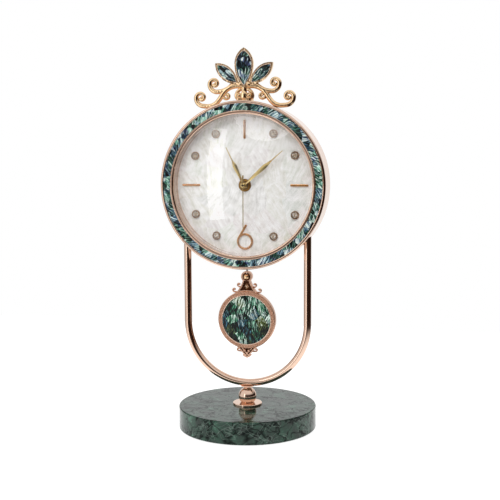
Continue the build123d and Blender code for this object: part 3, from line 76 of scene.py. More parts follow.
# Cell: where its bands begin along its length, their colours, and how far each is bare metal
CELL_BANDS = (0.0, 0.06, 0.62, 0.93)
CELL_COLOURS = ("#B9BCBE", "#26282C", "#B4703F", "#B9BCBE")
CELL_STEEL = ("#FFFFFF", "#3A3A3A", "#8A8A8A", "#FFFFFF")
# Shell: the middle of a random colour, how far seeds lie apart, and how far a slice leans
HALVES = (0.5, 0.5, 0.5)
SEED_SPREAD = 90.0
SLICE_TILT = (0.35, 0.1, 0.35)
RING_PALETTE = [
    (0.05, "#84CDB4"), (0.20, "#2A6A62"), (0.34, "#4F8F6A"), (0.48, "#2D4C86"),
    (0.60, "#A2D0DE"), (0.72, "#3D6F9A"), (0.84, "#6CAE98"), (0.95, "#27387A")]
BOB_PALETTE = [
    (0.05, "#57AD84"), (0.22, "#28584A"), (0.38, "#86D0AE"), (0.54, "#1B3D36"),
    (0.68, "#4F88A0"), (0.80, "#3E7463"), (0.95, "#74854A")]
LEAF_PALETTE = [
    (0.05, "#6F93AE"), (0.24, "#2F5560"), (0.42, "#4A8A6C"), (0.60, "#8FB4BE"),
    (0.76, "#2C5A48"), (0.92, "#56689A")]
# Marble: its drift in mm, and its lines: tilt and turn in degrees, spacing in mm, and the level and
# width of a line in the noise that draws it
MARBLE_DRIFT = (5.0, 5.0, 5.0)
CRACK_STRETCH = (1.0, 1.0, 4.0)
DARK_CRACKS = [(68, 15, 15.0, 0.50, 0.022), (32, -20, 18.0, 0.50, 0.020), (-50, 10, 24.0, 0.52, 0.018)]
PALE_THREADS = [(55, 0, 9.0, 0.45, 0.014), (-65, 25, 13.0, 0.55, 0.012)]
THREAD_STRENGTH = 0.28

# Bob: setback of the first row of beads and spacing in a row, in beads
BEAD_SETBACK = 0.6
BEAD_PITCH = 1.02
# Crest: rise of its scrolls' upper limit per step aside, and half the width of its root
SCROLL_RISE = 0.3
ROOT_REACH = 4 * MM
# Its root: height in curls' radii, lap and inset in radii of their roll, and the bud's stretch
ROOT_RISE = 1.6
CURL_LAP = 1.4
EYE_INSET = 1.5
BUD_SHAPE = (1.0, 0.5, 1.5, 1.0)
# Cover marks: their root, the arrow and its barbs, and the cell's signs
MARK_SINK = 0.1 * MM
ARROW_GAP = 2.2 * MM
ARROW_TURNS = range(100, 261, 8)
BARB_LEAN = 0.6
BARB_AHEAD = 0.8 * MM
BARB_BACK = 1.8 * MM
SIGN_ARM = 1.6 * MM
SIGN_INSET = 5 * MM
SIGN_RISE = 4 * MM

# Studio: shades of the room from the back by the left, the front and the right
ROOM_SHADES = [
    (0.00, "#FFFFFF"), (0.12, "#F4F4F4"), (0.15, "#6A5A50"), (0.21, "#6A5A50"),
    (0.25, "#EEEEEE"), (0.34, "#F0F0F0"), (0.44, "#CCCCCC"), (0.465, "#8A7F78"),
    (0.49, "#2A1A12"), (0.87, "#2A1A12"), (0.93, "#E8E6E4"), (1.00, "#FFFFFF")]
# Floor: its reach in metres, and where it fades out in reflections in mm
FLOOR_REACH = 0.6
FADE_START = 140.0
FADE_END = 560.0
# Lamps and camera: half of the strip's width, the overhead lamp in metres, the sensor in mm
STRIP_SIDE = radians(4.5)
FILL_DIAMETER = 1.2
FILL_PLACE = (0.0, -1.5, 1.5)
SENSOR_WIDTH = 36.0


def middle(node):
    """The middle of a node's box at rest, in metres."""
    low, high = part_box(node)
    return (low + high) / 2


DIAL_CENTRE = middle("dial")
BOB_CENTRE = middle("bob_ring")
LEAF_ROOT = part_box("leaf_inlays")[0].z


def linear(code):
    """An sRGB hex colour as linear red, green, blue and alpha."""
    channels = [int(code[i:i + 2], 16) / 255 for i in (1, 3, 5)]
    flat = [c / 12.92 if c <= 0.04045 else ((c + 0.055) / 1.055) ** 2.4 for c in channels]
    return (*flat, 1.0)


def add(tree, kind, inputs=None, stops=None, **settings):
    """Add a shader node with its options, colour stops and inputs. A node as input is its first output."""
    made = tree.nodes.new("ShaderNode" + kind)
    for name, value in settings.items():
        setattr(made, name, value)
    for name, value in (inputs or {}).items():
        if isinstance(value, bpy.types.Node):
            value = value.outputs[0]
        if isinstance(value, bpy.types.NodeSocket):
            tree.links.new(value, made.inputs[name])
        else:
            made.inputs[name].default_value = value
    if stops:
        marks = made.color_ramp.elements
        while len(marks) < len(stops):
            marks.new(1.0)
        for mark, (place, code) in zip(marks, stops):
            mark.position = place
            mark.color = linear(code)
    return made


def new_material(name, make, *values, **settings):
    """A material whose surface is the shader that a function makes in its node tree."""
    made = bpy.data.materials.new(name)
    made.use_nodes = True
    made.node_tree.nodes.clear()
    shader = make(made.node_tree, *values, **settings)
    add(made.node_tree, "OutputMaterial", {"Surface": shader})
    return made


def object_mm(tree, origin=(0.0, 0.0, 0.0)):
    """A piece's own coordinates in millimetres from an origin that is given in metres."""
    place = add(tree, "TexCoord").outputs["Object"]
    shifted = add(tree, "VectorMath", {0: place, 1: origin}, operation="SUBTRACT")
    return add(tree, "VectorMath", {0: shifted, "Scale": 1 / MM}, operation="SCALE")


def upright_mm(tree, origin=(0.0, 0.0, 0.0)):
    """Places in the upright plane in millimetres: x across and y up."""
    parts = add(tree, "SeparateXYZ", {0: object_mm(tree, origin)}).outputs
    return add(tree, "CombineXYZ", {"X": parts["X"], "Y": parts["Z"]})


def fan_mm(tree, origin, mean_radius):
    """Places round an origin in millimetres: x clockwise along the mean radius and y outwards."""
    flat = upright_mm(tree, origin)
    parts = add(tree, "SeparateXYZ", {0: flat}).outputs
    angle = add(tree, "Math", {0: parts["X"], 1: parts["Y"]}, operation="ARCTAN2")
    along = add(tree, "Math", {0: angle, 1: mean_radius}, operation="MULTIPLY")
    radius = add(tree, "VectorMath", {0: flat}, operation="LENGTH").outputs["Value"]
    return add(tree, "CombineXYZ", {"X": along, "Y": radius})


def dress(material, *nodes):
    """Give a material to nodes of the frame."""
    for node in nodes:
        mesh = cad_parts[node].data
        mesh.materials.clear()
        mesh.materials.append(material)


def mesh_of(shape, name):
    """A mesh from a bmesh, with its faces turned outwards."""
    mesh = bpy.data.meshes.new(name)
    bmesh.ops.recalc_face_normals(shape, faces=shape.faces)
    shape.to_mesh(mesh)
    shape.free()
    return mesh


def placed(context, name, data):
    """A new object in the scene."""
    made = bpy.data.objects.new(name, data)
    context.scene.collection.objects.link(made)
    return made


def piece(context, shape, name, material, body, smooth=True):
    """Turn a bmesh into a piece that rides a body and wears the given material."""
    mesh = mesh_of(shape, name)
    mesh.polygons.foreach_set("use_smooth", [smooth] * len(mesh.polygons))
    mesh.materials.append(material)
    made = placed(context, name, mesh)
    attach(made, body)
    return made


def welded(node):
    """A bmesh of a node at rest, in metres, with its doubled points joined."""
    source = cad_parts[node]
    shape = bmesh.new()
    shape.from_mesh(source.data)
    shape.transform(source.matrix_world)
    bmesh.ops.remove_doubles(shape, verts=shape.verts, dist=WELD)
    shape.normal_update()
    return shape


def smoothed(context, node, name, body, swell=0.0, swelled=None):
    """A welded copy that stands for a node: smooth but for its sharp edges, and swollen where asked."""
    shape = welded(node)
    pushes = [(v, v.normal.copy()) for v in shape.verts if swelled and swelled(v.co)]
    for vert, normal in pushes:
        vert.co += normal * swell
    made = piece(context, shape, name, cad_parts[node].data.materials[0], body)
    spare = made.data.attributes.get("custom_normal")
    if spare:
        made.data.attributes.remove(spare)
    made.data.set_sharp_from_angle(angle=SHARP)
    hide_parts(node)


def circle(centre, radius, count, shift=0.0):
    """Points round an upright circle, clockwise from the top, shifted by a share of a step."""
    turns = [2 * pi * (step + shift) / count for step in range(count)]
    return [centre + Vector((sin(turn), 0, cos(turn))) * radius for turn in turns]


def bar(shape, points, width, low, high):
    """A bar of rectangular section along points in the upright plane, from depth low to depth high."""
    sections = []
    for place, spot in enumerate(points):
        heading = points[min(place + 1, len(points) - 1)] - points[max(place - 1, 0)]
        side = Vector((-heading.z, 0, heading.x)).normalized() * (width / 2)
        corners = []
        for edge, depth in ((side, low), (-side, low), (-side, high), (side, high)):
            corner = spot + edge
            corner.y = depth
            corners.append(shape.verts.new(corner))
        sections.append(corners)
    for one, two in zip(sections, sections[1:]):
        for k in range(4):
            shape.faces.new((one[k], one[(k + 1) % 4], two[(k + 1) % 4], two[k]))
    shape.faces.new(sections[0])
    shape.faces.new(sections[-1][::-1])


def wire(shape, points, radius, across=8):
    """A round wire along a closed loop of points in the upright plane."""
    turns = [2 * pi * part / across for part in range(across)]
    rows = []
    for place, spot in enumerate(points):
        heading = points[(place + 1) % len(points)] - points[place - 1]
        side = Vector((-heading.z, 0, heading.x)).normalized()
        spokes = [side * cos(turn) + Vector((0, sin(turn), 0)) for turn in turns]
        rows.append([shape.verts.new(spot + spoke * radius) for spoke in spokes])
    for place, row in enumerate(rows):
        after = rows[(place + 1) % len(rows)]
        for part in range(across):
            near = (part + 1) % across
            shape.faces.new((row[part], row[near], after[near], after[part]))


def front_loops(node):
    """The outlines of a node's flat front faces, as closed loops of points in metres."""
    shape = welded(node)
    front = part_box(node)[0].y
    faces = {f for f in shape.faces
             if f.normal.y < FACING_FRONT and abs(f.calc_center_median().y - front) < FRONT_ROOM}
    links = {}
    for edge in shape.edges:
        if sum(f in faces for f in edge.link_faces) == 1:
            one, two = edge.verts
            links.setdefault(one, []).append(two)
            links.setdefault(two, []).append(one)
    loops = []
    while links:
        spot = next(iter(links))
        loop = []
        while spot in links:
            loop.append(spot.co.copy())
            spot = next((v for v in links.pop(spot) if v in links), None)
        loops.append(loop)
    shape.free()
    return loops


class ClockColours(bpy.types.PropertyGroup):
    """Colours of the clock's finishes."""

    rose_gold: FloatVectorProperty(
        name="Rose gold", description="Plating of the case, stand and stem", subtype="COLOR",
        size=4, default=linear("#E6C6B1"))
    cast_gold: FloatVectorProperty(
        name="Cast gold", description="Plating of the crest", subtype="COLOR",
        size=4, default=linear("#F9D7AB"))
    hand_gold: FloatVectorProperty(
        name="Hand gold", description="Plating of the hands", subtype="COLOR",
        size=4, default=linear("#DCC48A"))
    bar_gold: FloatVectorProperty(
        name="Bar gold", description="Plating of the hour bars and the numeral", subtype="COLOR",
        size=4, default=linear("#D9A470"))


class ClockSizes(bpy.types.PropertyGroup):
    """Sizes of patterns and dressings, in millimetres."""

    slice_stripe: FloatProperty(
        name="Growth line", description="Spacing of a shell's growth lines in mm", default=1.35, min=0.1)
    milgrain_bead: FloatProperty(
        name="Milgrain bead", description="Diameter of one bead on the bob's rim in mm", default=1.15)
    milgrain_rows: IntProperty(
        name="Milgrain rows", description="Rows of beads on the bob's rim", default=3, min=1)
    milgrain_lip: FloatProperty(
        name="Lip", description="Width of the bright lip round the bob's inlay in mm", default=0.9)
    eyelet_diameter: FloatProperty(
        name="Eyelet", description="Diameter of the second hand's eyelet in mm", default=4.4)
    eyelet_roll: FloatProperty(
        name="Eyelet roll", description="Thickness of the eyelet's rolled edge in mm", default=1.1)
    crest_plating: FloatProperty(
        name="Crest plating", description="Swelling of the scrolls under their plating in mm", default=0.4)
    leaf_lip: FloatProperty(
        name="Leaf lip", description="Thickness of the wire round a leaf in mm", default=0.8)
    root_volute: FloatProperty(
        name="Root volute", description="Diameter of a curl at the crest's root in mm", default=6.6)
    root_roll: FloatProperty(
        name="Root roll", description="Thickness of a curl's rolled edge in mm", default=1.9)
    root_bud: FloatProperty(
        name="Root bud", description="Width of the bud between the curls in mm", default=6.8)
    mark_width: FloatProperty(
        name="Mark width", description="Width of a raised mark's line in mm", default=0.9)
    mark_height: FloatProperty(
        name="Mark height", description="Height of a raised mark in mm", default=0.4)
    recess_arm: FloatProperty(
        name="Recess arm", description="Reach of a screw recess across and up in mm", default=1.7)
    recess_width: FloatProperty(
        name="Recess width", description="Width of a screw recess in mm", default=0.6)
    recess_depth: FloatProperty(
        name="Recess depth", description="Depth of a screw recess in mm", default=0.6)
    marble_patch: FloatProperty(
        name="Marble patch", description="Width of the marble's light patches in mm", default=16.0, min=1)
    pearl_patch: FloatProperty(
        name="Pearl patch", description="Width of the pearl's cloudy patches in mm", default=22.0, min=1)


def grained(tree, colour, metallic, grain, haze, dimples):
    """Haze and dimples from a grain in millimetres, coarser than the real one where that would not show."""
    skin = add(tree, "TexNoise", {"Vector": object_mm(tree), "Scale": 1 / grain})
    rough = add(tree, "MapRange", {"Value": skin, "To Min": haze[0], "To Max": haze[1]})
    bump = add(tree, "Bump", {"Height": skin, "Strength": dimples, "Distance": MM})
    return add(tree, "BsdfPrincipled", {
        "Base Color": colour, "Metallic": metallic, "Roughness": rough, "Normal": bump})


def polished_rose_gold(colours):
    """Rose gold plating on polished brass: a warm pink mirror with faint soft waves from the mop."""
    return new_material("polished_rose_gold_plating", grained, colours.rose_gold, 1.0,
                        grain=9.0, haze=(0.07, 0.14), dimples=0.04)


def cast_gold(colours):
    """Gold plating on a cast zinc crest: softly dimpled and polished, a bright and broken shine."""
    return new_material("gold_plated_casting", grained, colours.cast_gold, 1.0,
                        grain=2.4, haze=(0.08, 0.18), dimples=0.24)


def satin_metal(name, colour, grain, haze, dimples):
    """Plated metal with a fine tumbled grain, so that its highlights are broad."""
    return new_material(name, grained, colour, 1.0, grain, haze, dimples)


def highlight_painted_wire():
    """Rose gold plating on wire, painted paler than the rose gold as a highlight, with a soft bright line
    along its length.
    """
    name = "rose_gold_wire_with_painted_highlight"
    # Painted highlight: the wire is a paler copy of the rose gold, so that it reads bright
    return bpy.data.materials.get(name) or satin_metal(
        name, linear("#F8DFCD"), grain=1.5, haze=(0.20, 0.32), dimples=0.03)


def moulded_plastic(name, colour, roughness, grain):
    """Moulded plastic with a fine spark-eroded texture, so that it shines dully and unevenly."""
    haze = (roughness - PLASTIC_HAZE, roughness + PLASTIC_HAZE)
    return new_material(name, grained, colour, 0.0, grain, haze, dimples=0.12)


def brushed_rose_gold(tree, colours):
    """Rose gold plating on a belt-brushed sheet: fine level lines that draw highlights out upwards."""
    drawn = add(tree, "VectorMath", {0: object_mm(tree), 1: BRUSH_LINES}, operation="MULTIPLY")
    lines = add(tree, "TexNoise", {"Vector": drawn, "Scale": 1.0, "Detail": 4.0})
    haze = add(tree, "MapRange", {"Value": lines, "To Min": 0.22, "To Max": 0.46})
    shade = add(tree, "MapRange", {"Value": lines, "From Min": 0.3, "From Max": 0.7})
    colour = add(tree, "MixRGB", {
        "Fac": shade, "Color1": linear("#D3AE98"), "Color2": colours.rose_gold})
    bump = add(tree, "Bump", {"Height": lines, "Strength": 0.12, "Distance": BRUSH_DEPTH})
    return add(tree, "BsdfPrincipled", {
        "Base Color": colour, "Metallic": 1.0, "Roughness": haze, "Normal": bump})


def dark_floored_metal(tree):
    """Rose gold plating, tumbled, darker brown on the front-facing floors of its hollows."""
    place = object_mm(tree)
    skin = add(tree, "TexNoise", {"Vector": place, "Scale": 1 / 0.9})
    depth = add(tree, "SeparateXYZ", {0: place}).outputs["Y"]
    normal = add(tree, "NewGeometry").outputs["True Normal"]
    facing = add(tree, "SeparateXYZ", {0: normal}).outputs["Y"]
    flat = add(tree, "Math", {0: facing, 1: HOLLOW_FACING}, operation="LESS_THAN")
    sunk = add(tree, "Math", {0: depth, 1: HOLLOW_DEPTH}, operation="GREATER_THAN")
    hollow = add(tree, "Math", {0: flat, 1: sunk}, operation="MULTIPLY")
    colour = add(tree, "MixRGB", {
        "Fac": hollow, "Color1": linear("#DDB197"), "Color2": linear("#4A2A1A")})
    haze = add(tree, "MapRange", {"Value": skin, "To Min": 0.24, "To Max": 0.40})
    bump = add(tree, "Bump", {"Height": skin, "Strength": 0.2, "Distance": MM})
    return add(tree, "BsdfPrincipled", {
        "Base Color": colour, "Metallic": 1.0, "Roughness": haze, "Normal": bump})


def bore_shade_steel(tree):
    """Turned steel with fine rings from the tool, painted dark brown as the shade down the second hand's
    tube.
    """
    place = upright_mm(tree, DIAL_CENTRE)
    radius = add(tree, "VectorMath", {0: place}, operation="LENGTH").outputs["Value"]
    rings = add(tree, "TexNoise", {
        "W": radius, "Scale": 1 / TOOL_RING, "Detail": 1.0}, noise_dimensions="1D")
    # Painted shade: these dark browns stand for the shade inside the tube's bore
    colour = add(tree, "ValToRGB", {"Fac": rings}, stops=[(0.3, "#2A1C14"), (0.7, "#4A3524")])
    return add(tree, "BsdfPrincipled", {"Base Color": colour, "Metallic": 1.0, "Roughness": 0.35})


def cell_jacket(tree):
    """Dry cell in a printed film sleeve: a dark body, a copper band at the nub end and bare steel ends."""
    low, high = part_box("battery")
    half = (high.x - low.x) / 2 / MM
    along = add(tree, "SeparateXYZ", {0: object_mm(tree, middle("battery"))}).outputs["X"]
    share = add(tree, "MapRange", {"Value": along, "From Min": -half, "From Max": half})
    bands = []
    for codes in (CELL_COLOURS, CELL_STEEL):
        bands.append(add(tree, "ValToRGB", {"Fac": share}, stops=list(zip(CELL_BANDS, codes))))
        bands[-1].color_ramp.interpolation = "CONSTANT"
    scuff = add(tree, "TexNoise", {"Vector": object_mm(tree), "Scale": 1 / 2.5, "Detail": 3.0})
    haze = add(tree, "MapRange", {"Value": scuff, "To Min": 0.18, "To Max": 0.36})
    return add(tree, "BsdfPrincipled", {
        "Base Color": bands[0], "Metallic": bands[1], "Roughness": haze})


def slices(tree, place, slice_size, stripe, lean, wander, draw):
    """Cut shell slices: their random colours, growth lines from 0 to 1, and drifted places."""
    drift = add(tree, "TexNoise", {"Vector": place, "Scale": 0.5 / slice_size, "Detail": 3.0})
    centred = add(tree, "VectorMath", {0: drift.outputs["Color"], 1: HALVES}, operation="SUBTRACT")
    pushed = add(tree, "VectorMath", {
        0: centred, 1: (wander, wander, 0.0), 2: place}, operation="MULTIPLY_ADD")
    cells = add(tree, "TexVoronoi", {"Vector": pushed, "Scale": 1 / slice_size}, voronoi_dimensions="2D")
    colours = cells.outputs["Color"]
    chance = add(tree, "SeparateColor", {0: colours}).outputs
    slant = add(tree, "MapRange", {"Value": chance[0], "To Min": lean[0], "To Max": lean[1]})
    parts = add(tree, "SeparateXYZ", {0: pushed}).outputs
    across = add(tree, "Math", {0: parts["Y"], 1: slant, 2: parts["X"]}, operation="MULTIPLY_ADD")
    along = add(tree, "Math", {0: parts["Y"], 1: 1 / draw}, operation="MULTIPLY")
    seed = add(tree, "Math", {0: chance[1], 1: SEED_SPREAD}, operation="MULTIPLY")
    line_place = add(tree, "CombineXYZ", {"X": across, "Y": along, "Z": seed})
    lines = add(tree, "TexNoise", {
        "Vector": line_place, "Scale": 1 / stripe, "Detail": 3.0, "Roughness": 0.6})
    light = add(tree, "MapRange", {"Value": lines, "From Min": 0.35, "From Max": 0.63})
    return colours, light, pushed


def shell_surface(tree, place_of, palette, tones, slice_size, **cut):
    """Abalone slices under clear lacquer: black, blue and green growth lines with pale flashes."""
    colours, light, pushed = slices(tree, place_of(tree), slice_size, **cut)
    chance = add(tree, "SeparateColor", {0: colours}).outputs
    lift = add(tree, "MapRange", {"Value": chance[2], "To Min": tones[0], "To Max": tones[1]})
    tone = add(tree, "Math", {0: light, 1: lift}, operation="ADD", use_clamp=True)
    clouds = add(tree, "TexNoise", {"Vector": pushed, "Scale": 1.6 / slice_size})
    mingled = add(tree, "MapRange", {"Value": clouds, "To Min": -0.28, "To Max": 0.28})
    pick = add(tree, "Math", {0: chance[1], 1: mingled}, operation="ADD", use_clamp=True)
    tint = add(tree, "ValToRGB", {"Fac": pick}, stops=palette)
    deep = add(tree, "MapRange", {"Value": tone, "From Min": 0.20, "From Max": 0.66})
    body = add(tree, "MixRGB", {"Fac": deep, "Color1": linear("#04080A"), "Color2": tint})
    flash = add(tree, "MapRange", {"Value": tone, "From Min": 0.60, "From Max": 0.88, "To Max": 0.92})
    lit = add(tree, "MixRGB", {"Fac": flash, "Color1": body, "Color2": linear("#E6F5EC")})
    tilt = add(tree, "VectorMath", {0: colours, 1: HALVES}, operation="SUBTRACT")
    normal = add(tree, "NewGeometry").outputs["Normal"]
    tilted = add(tree, "VectorMath", {0: tilt, 1: SLICE_TILT, 2: normal}, operation="MULTIPLY_ADD")
    unit = add(tree, "VectorMath", {0: tilted}, operation="NORMALIZE")
    return add(tree, "BsdfPrincipled", {
        "Base Color": lit, "Metallic": 0.15, "Roughness": 0.3, "Specular IOR Level": 0.25,
        "Normal": unit, "Coat Weight": 0.25, "Coat Roughness": 0.03})


def ring_place(tree):
    """Places round the bezel's inlay, clockwise from the top."""
    low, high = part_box("bezel_inlay")
    return fan_mm(tree, DIAL_CENTRE, (high.x - low.x) / 2 / MM)


def bob_place(tree):
    """Places on the bob, with x across the upright slices."""
    return upright_mm(tree, BOB_CENTRE)


def leaf_place(tree):
    """Places on the crest's leaves: across the fan of leaves, and out from its root."""
    low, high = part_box("leaf_inlays")
    root = Vector(((low.x + high.x) / 2, 0, low.z))
    return fan_mm(tree, root, (high.z - low.z) / 2 / MM)


def pearl(tree, sizes):
    """Mother-of-pearl veneer, sanded and lacquered: white with soft cream, pink and green clouds."""
    patch = sizes.pearl_patch
    colours, light, pushed = slices(
        tree, upright_mm(tree), patch, stripe=2.6, lean=(-0.9, 0.9), wander=0.6 * patch, draw=7.0)
    clouds = add(tree, "TexNoise", {
        "Vector": pushed, "Scale": 1 / 8.0, "Detail": 6.0, "Roughness": 0.62})
    soft = add(tree, "MixRGB", {"Fac": 0.8, "Color1": light, "Color2": clouds})
    tint = add(tree, "ValToRGB", {"Fac": soft}, stops=[
        (0.26, "#D2D2CC"), (0.42, "#E8E8E4"), (0.54, "#F3F3F1"), (0.68, "#FFFFFF")])
    hue = add(tree, "MixRGB", {"Fac": 0.08, "Color1": tint, "Color2": colours}, blend_type="OVERLAY")
    bump = add(tree, "Bump", {"Height": soft, "Strength": 0.06, "Distance": MM})
    return add(tree, "BsdfPrincipled", {
        "Base Color": hue, "Roughness": 0.35, "Normal": bump, "Coat Weight": 0.3, "Coat Roughness": 0.15})


def cracks(tree, place, families):
    """Thin slanted lines where stretched noises cross a level: 1 on a line, 0 off it."""
    found = None
    for tilt, turn, spacing, level, width in families:
        slanted = add(tree, "Mapping", {
            "Vector": place, "Rotation": (0.0, radians(tilt), radians(turn)), "Scale": CRACK_STRETCH},
            vector_type="TEXTURE")
        drawn = add(tree, "TexNoise", {"Vector": slanted, "Scale": 1 / spacing})
        offset = add(tree, "Math", {0: drawn, 1: level}, operation="SUBTRACT")
        apart = add(tree, "Math", {0: offset}, operation="ABSOLUTE")
        lines = add(tree, "MapRange", {"Value": apart, "From Max": width, "To Min": 1.0, "To Max": 0.0})
        found = lines if found is None else add(tree, "Math", {0: found, 1: lines}, operation="MAXIMUM")
    return found


def green_marble(tree, sizes):
    """Dark green marble, sawn, polished and waxed: broken green patches, black cracks, pale threads."""
    place = object_mm(tree)
    drift = add(tree, "TexNoise", {"Vector": place, "Scale": 1 / 14.0, "Detail": 4.0}).outputs["Color"]
    pushed = add(tree, "VectorMath", {0: drift, 1: MARBLE_DRIFT, 2: place}, operation="MULTIPLY_ADD")
    patches = add(tree, "TexNoise", {
        "Vector": pushed, "Scale": 1 / sizes.marble_patch, "Detail": 6.0, "Roughness": 0.65})
    body = add(tree, "ValToRGB", {"Fac": patches}, stops=[
        (0.34, "#0B1912"), (0.47, "#143024"), (0.58, "#1E4232"), (0.72, "#43705A")])
    split = cracks(tree, pushed, DARK_CRACKS)
    cracked = add(tree, "MixRGB", {"Fac": split, "Color1": body, "Color2": linear("#070E0B")})
    pale = cracks(tree, pushed, PALE_THREADS)
    thin = add(tree, "Math", {0: pale, 1: THREAD_STRENGTH}, operation="MULTIPLY")
    veined = add(tree, "MixRGB", {"Fac": thin, "Color1": cracked, "Color2": linear("#8FA398")})
    worn = add(tree, "MapRange", {"Value": split, "To Min": 0.42, "To Max": 0.08})
    haze = add(tree, "MapRange", {"Value": patches, "To Min": 0.03, "To Max": 0.14})
    return add(tree, "BsdfPrincipled", {
        "Base Color": veined, "Roughness": haze, "Specular IOR Level": worn})


def clear_glass(tree, ior):
    """Clear pressed glass, polished: colourless, and lamps shine through it onto what is behind."""
    shader = add(tree, "BsdfPrincipled", {
        "Base Color": linear("#FFFFFF"), "Roughness": 0.0, "IOR": ior, "Transmission Weight": 1.0})
    shadow = add(tree, "LightPath").outputs["Is Shadow Ray"]
    return add(tree, "MixShader", {0: shadow, 1: shader, 2: add(tree, "BsdfTransparent")})


def foiled_stone(tree, painted_reflections):
    """A cut stone on silver foil with painted reflections: each facet gets a random painted shade, from
    dark to a painted bright glint.
    """
    normal = add(tree, "NewGeometry").outputs["True Normal"]
    facets = add(tree, "TexWhiteNoise", {"Vector": normal}, noise_dimensions="3D")
    # Painted reflection: a random shade per facet, up to a white glint, stands in for what each facet
    # reflects
    tone = add(tree, "ValToRGB", {"Fac": facets.outputs["Value"]}, stops=painted_reflections)
    return add(tree, "BsdfPrincipled", {
        "Base Color": tone, "Metallic": 0.35, "Roughness": 0.18, "Coat Weight": 1.0})


class CLOCK_OT_stone_base(bpy.types.Operator):
    """Finish the marble base and the pad below it"""

    bl_idname = "clock.stone_base"
    bl_label = "Stone base"

    def execute(self, context):
        sizes = context.scene.clock_sizes
        dress(new_material("polished_green_marble", green_marble, sizes), "marble_base")
        dress(moulded_plastic("foam_pad", linear("#1B1B1B"), roughness=0.85, grain=0.6), "base_pad")
        return {"FINISHED"}


def on_scroll(place):
    """Whether a place on the crest is on its scrolls: under the leaves and beside the root."""
    aside = abs(place.x)
    return place.z < LEAF_ROOT + SCROLL_RISE * aside and aside > ROOT_REACH


class CLOCK_OT_metalwork(bpy.types.Operator):
    """Finish the case, bezel, stand, stem, crest and back"""

    bl_idname = "clock.metalwork"
    bl_label = "Metalwork"

    def execute(self, context):
        colours = context.scene.clock_colours
        dress(polished_rose_gold(colours), "case_drum", "bezel_ring", "u_frame", "stem_flange",
              "stem_ball", "stem_collar", "inner_wall_ring")
        dress(new_material("brushed_rose_gold_plating", brushed_rose_gold, colours), "back_cover")
        dress(cast_gold(colours), "crest_casting", "hanger_bead")
        smoothed(context, "crest_casting", "plated_crest", "stand",
                 context.scene.clock_sizes.crest_plating * MM, on_scroll)
        dress(satin_metal("tumbled_rose_gold_plating", linear("#D9AE94"),
                          grain=0.9, haze=(0.28, 0.42), dimples=0.35), "bob_ring")
        dress(new_material("rose_gold_plating_with_dark_floors", dark_floored_metal),
              "pendulum_hanger", "bob_drop_ornament")
        dress(satin_metal("bright_zinc_plating", linear("#C9CBCD"),
                          grain=0.8, haze=(0.18, 0.3), dimples=0.05),
              "cover_screws", "clamp_screws", "crest_screws", "pendulum_rod", "stem_stud", "stem_nut",
              "stem_washer", "battery_contacts", "pivot_pin", "stator", "arm_magnet")
        return {"FINISHED"}


class CLOCK_OT_milgrain(bpy.types.Operator):
    """Set rows of small beads round the bob's rim, and a lip round its inlay, painted pale as a highlight
    """

    bl_idname = "clock.milgrain"
    bl_label = "Milgrain"

    def execute(self, context):
        sizes = context.scene.clock_sizes
        bead = sizes.milgrain_bead * MM
        lip = sizes.milgrain_lip * MM
        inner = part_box("bob_inlay")[1].x
        centre = Vector((BOB_CENTRE.x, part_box("bob_ring")[0].y, BOB_CENTRE.z))
        shape = bmesh.new()
        for row in range(sizes.milgrain_rows):
            radius = inner + lip + bead * (row + BEAD_SETBACK)
            count = round(2 * pi * radius / (BEAD_PITCH * bead))
            for place in circle(centre, radius, count, shift=0.5 * (row % 2)):
                bmesh.ops.create_icosphere(
                    shape, subdivisions=1, radius=bead / 2, matrix=Matrix.Translation(place))
        piece(context, shape, "bob_milgrain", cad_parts["bob_ring"].data.materials[0],
              "pendulum")
        shape = bmesh.new()
        wire(shape, circle(centre, inner + lip / 2, LARGE_RING), lip / 2)
        # The bob's lip is painted pale as a highlight
        piece(context, shape, "bob_lip", highlight_painted_wire(), "pendulum")
        return {"FINISHED"}


class CLOCK_OT_leaf_lips(bpy.types.Operator):
    """Lay a wire round each leaf inlay of the crest, painted pale as a highlight"""

    bl_idname = "clock.leaf_lips"
    bl_label = "Leaf lips"

    def execute(self, context):
        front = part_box("leaf_inlays")[0].y
        shape = bmesh.new()
        for loop in front_loops("leaf_inlays"):
            for spot in loop:
                spot.y = front
            wire(shape, loop, context.scene.clock_sizes.leaf_lip * MM / 2)
        # The leaf lips are painted pale as a highlight
        piece(context, shape, "leaf_lips", highlight_painted_wire(), "stand")
        return {"FINISHED"}


class CLOCK_OT_crest_root(bpy.types.Operator):
    """Raise two curls with beaded eyes and a bud on the front of the crest's root"""

    bl_idname = "clock.crest_root"
    bl_label = "Crest root"

    def execute(self, context):
        sizes = context.scene.clock_sizes
        reach = sizes.root_volute * MM / 2
        tube = sizes.root_roll * MM / 2
        half = sizes.root_bud * MM / 2
        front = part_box("crest_casting")[0].y + tube / 2
        root = Vector((DIAL_CENTRE.x, front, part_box("case_drum")[1].z + ROOT_RISE * reach))
        shape = bmesh.new()
        for side in (-1, 1):
            eye = root + Vector((side * (half + reach - CURL_LAP * tube), 0, 0))
            wire(shape, circle(eye, reach - tube, SMALL_RING), tube)
            bmesh.ops.create_uvsphere(shape, u_segments=20, v_segments=12,
                                      radius=reach - EYE_INSET * tube, matrix=Matrix.Translation(eye))
        bmesh.ops.create_uvsphere(shape, u_segments=28, v_segments=18, radius=half,
                                  matrix=Matrix.Translation(root) @ Matrix.Diagonal(BUD_SHAPE))
        piece(context, shape, "crest_root_relief", bpy.data.materials["gold_plated_casting"],
              "stand")
        return {"FINISHED"}


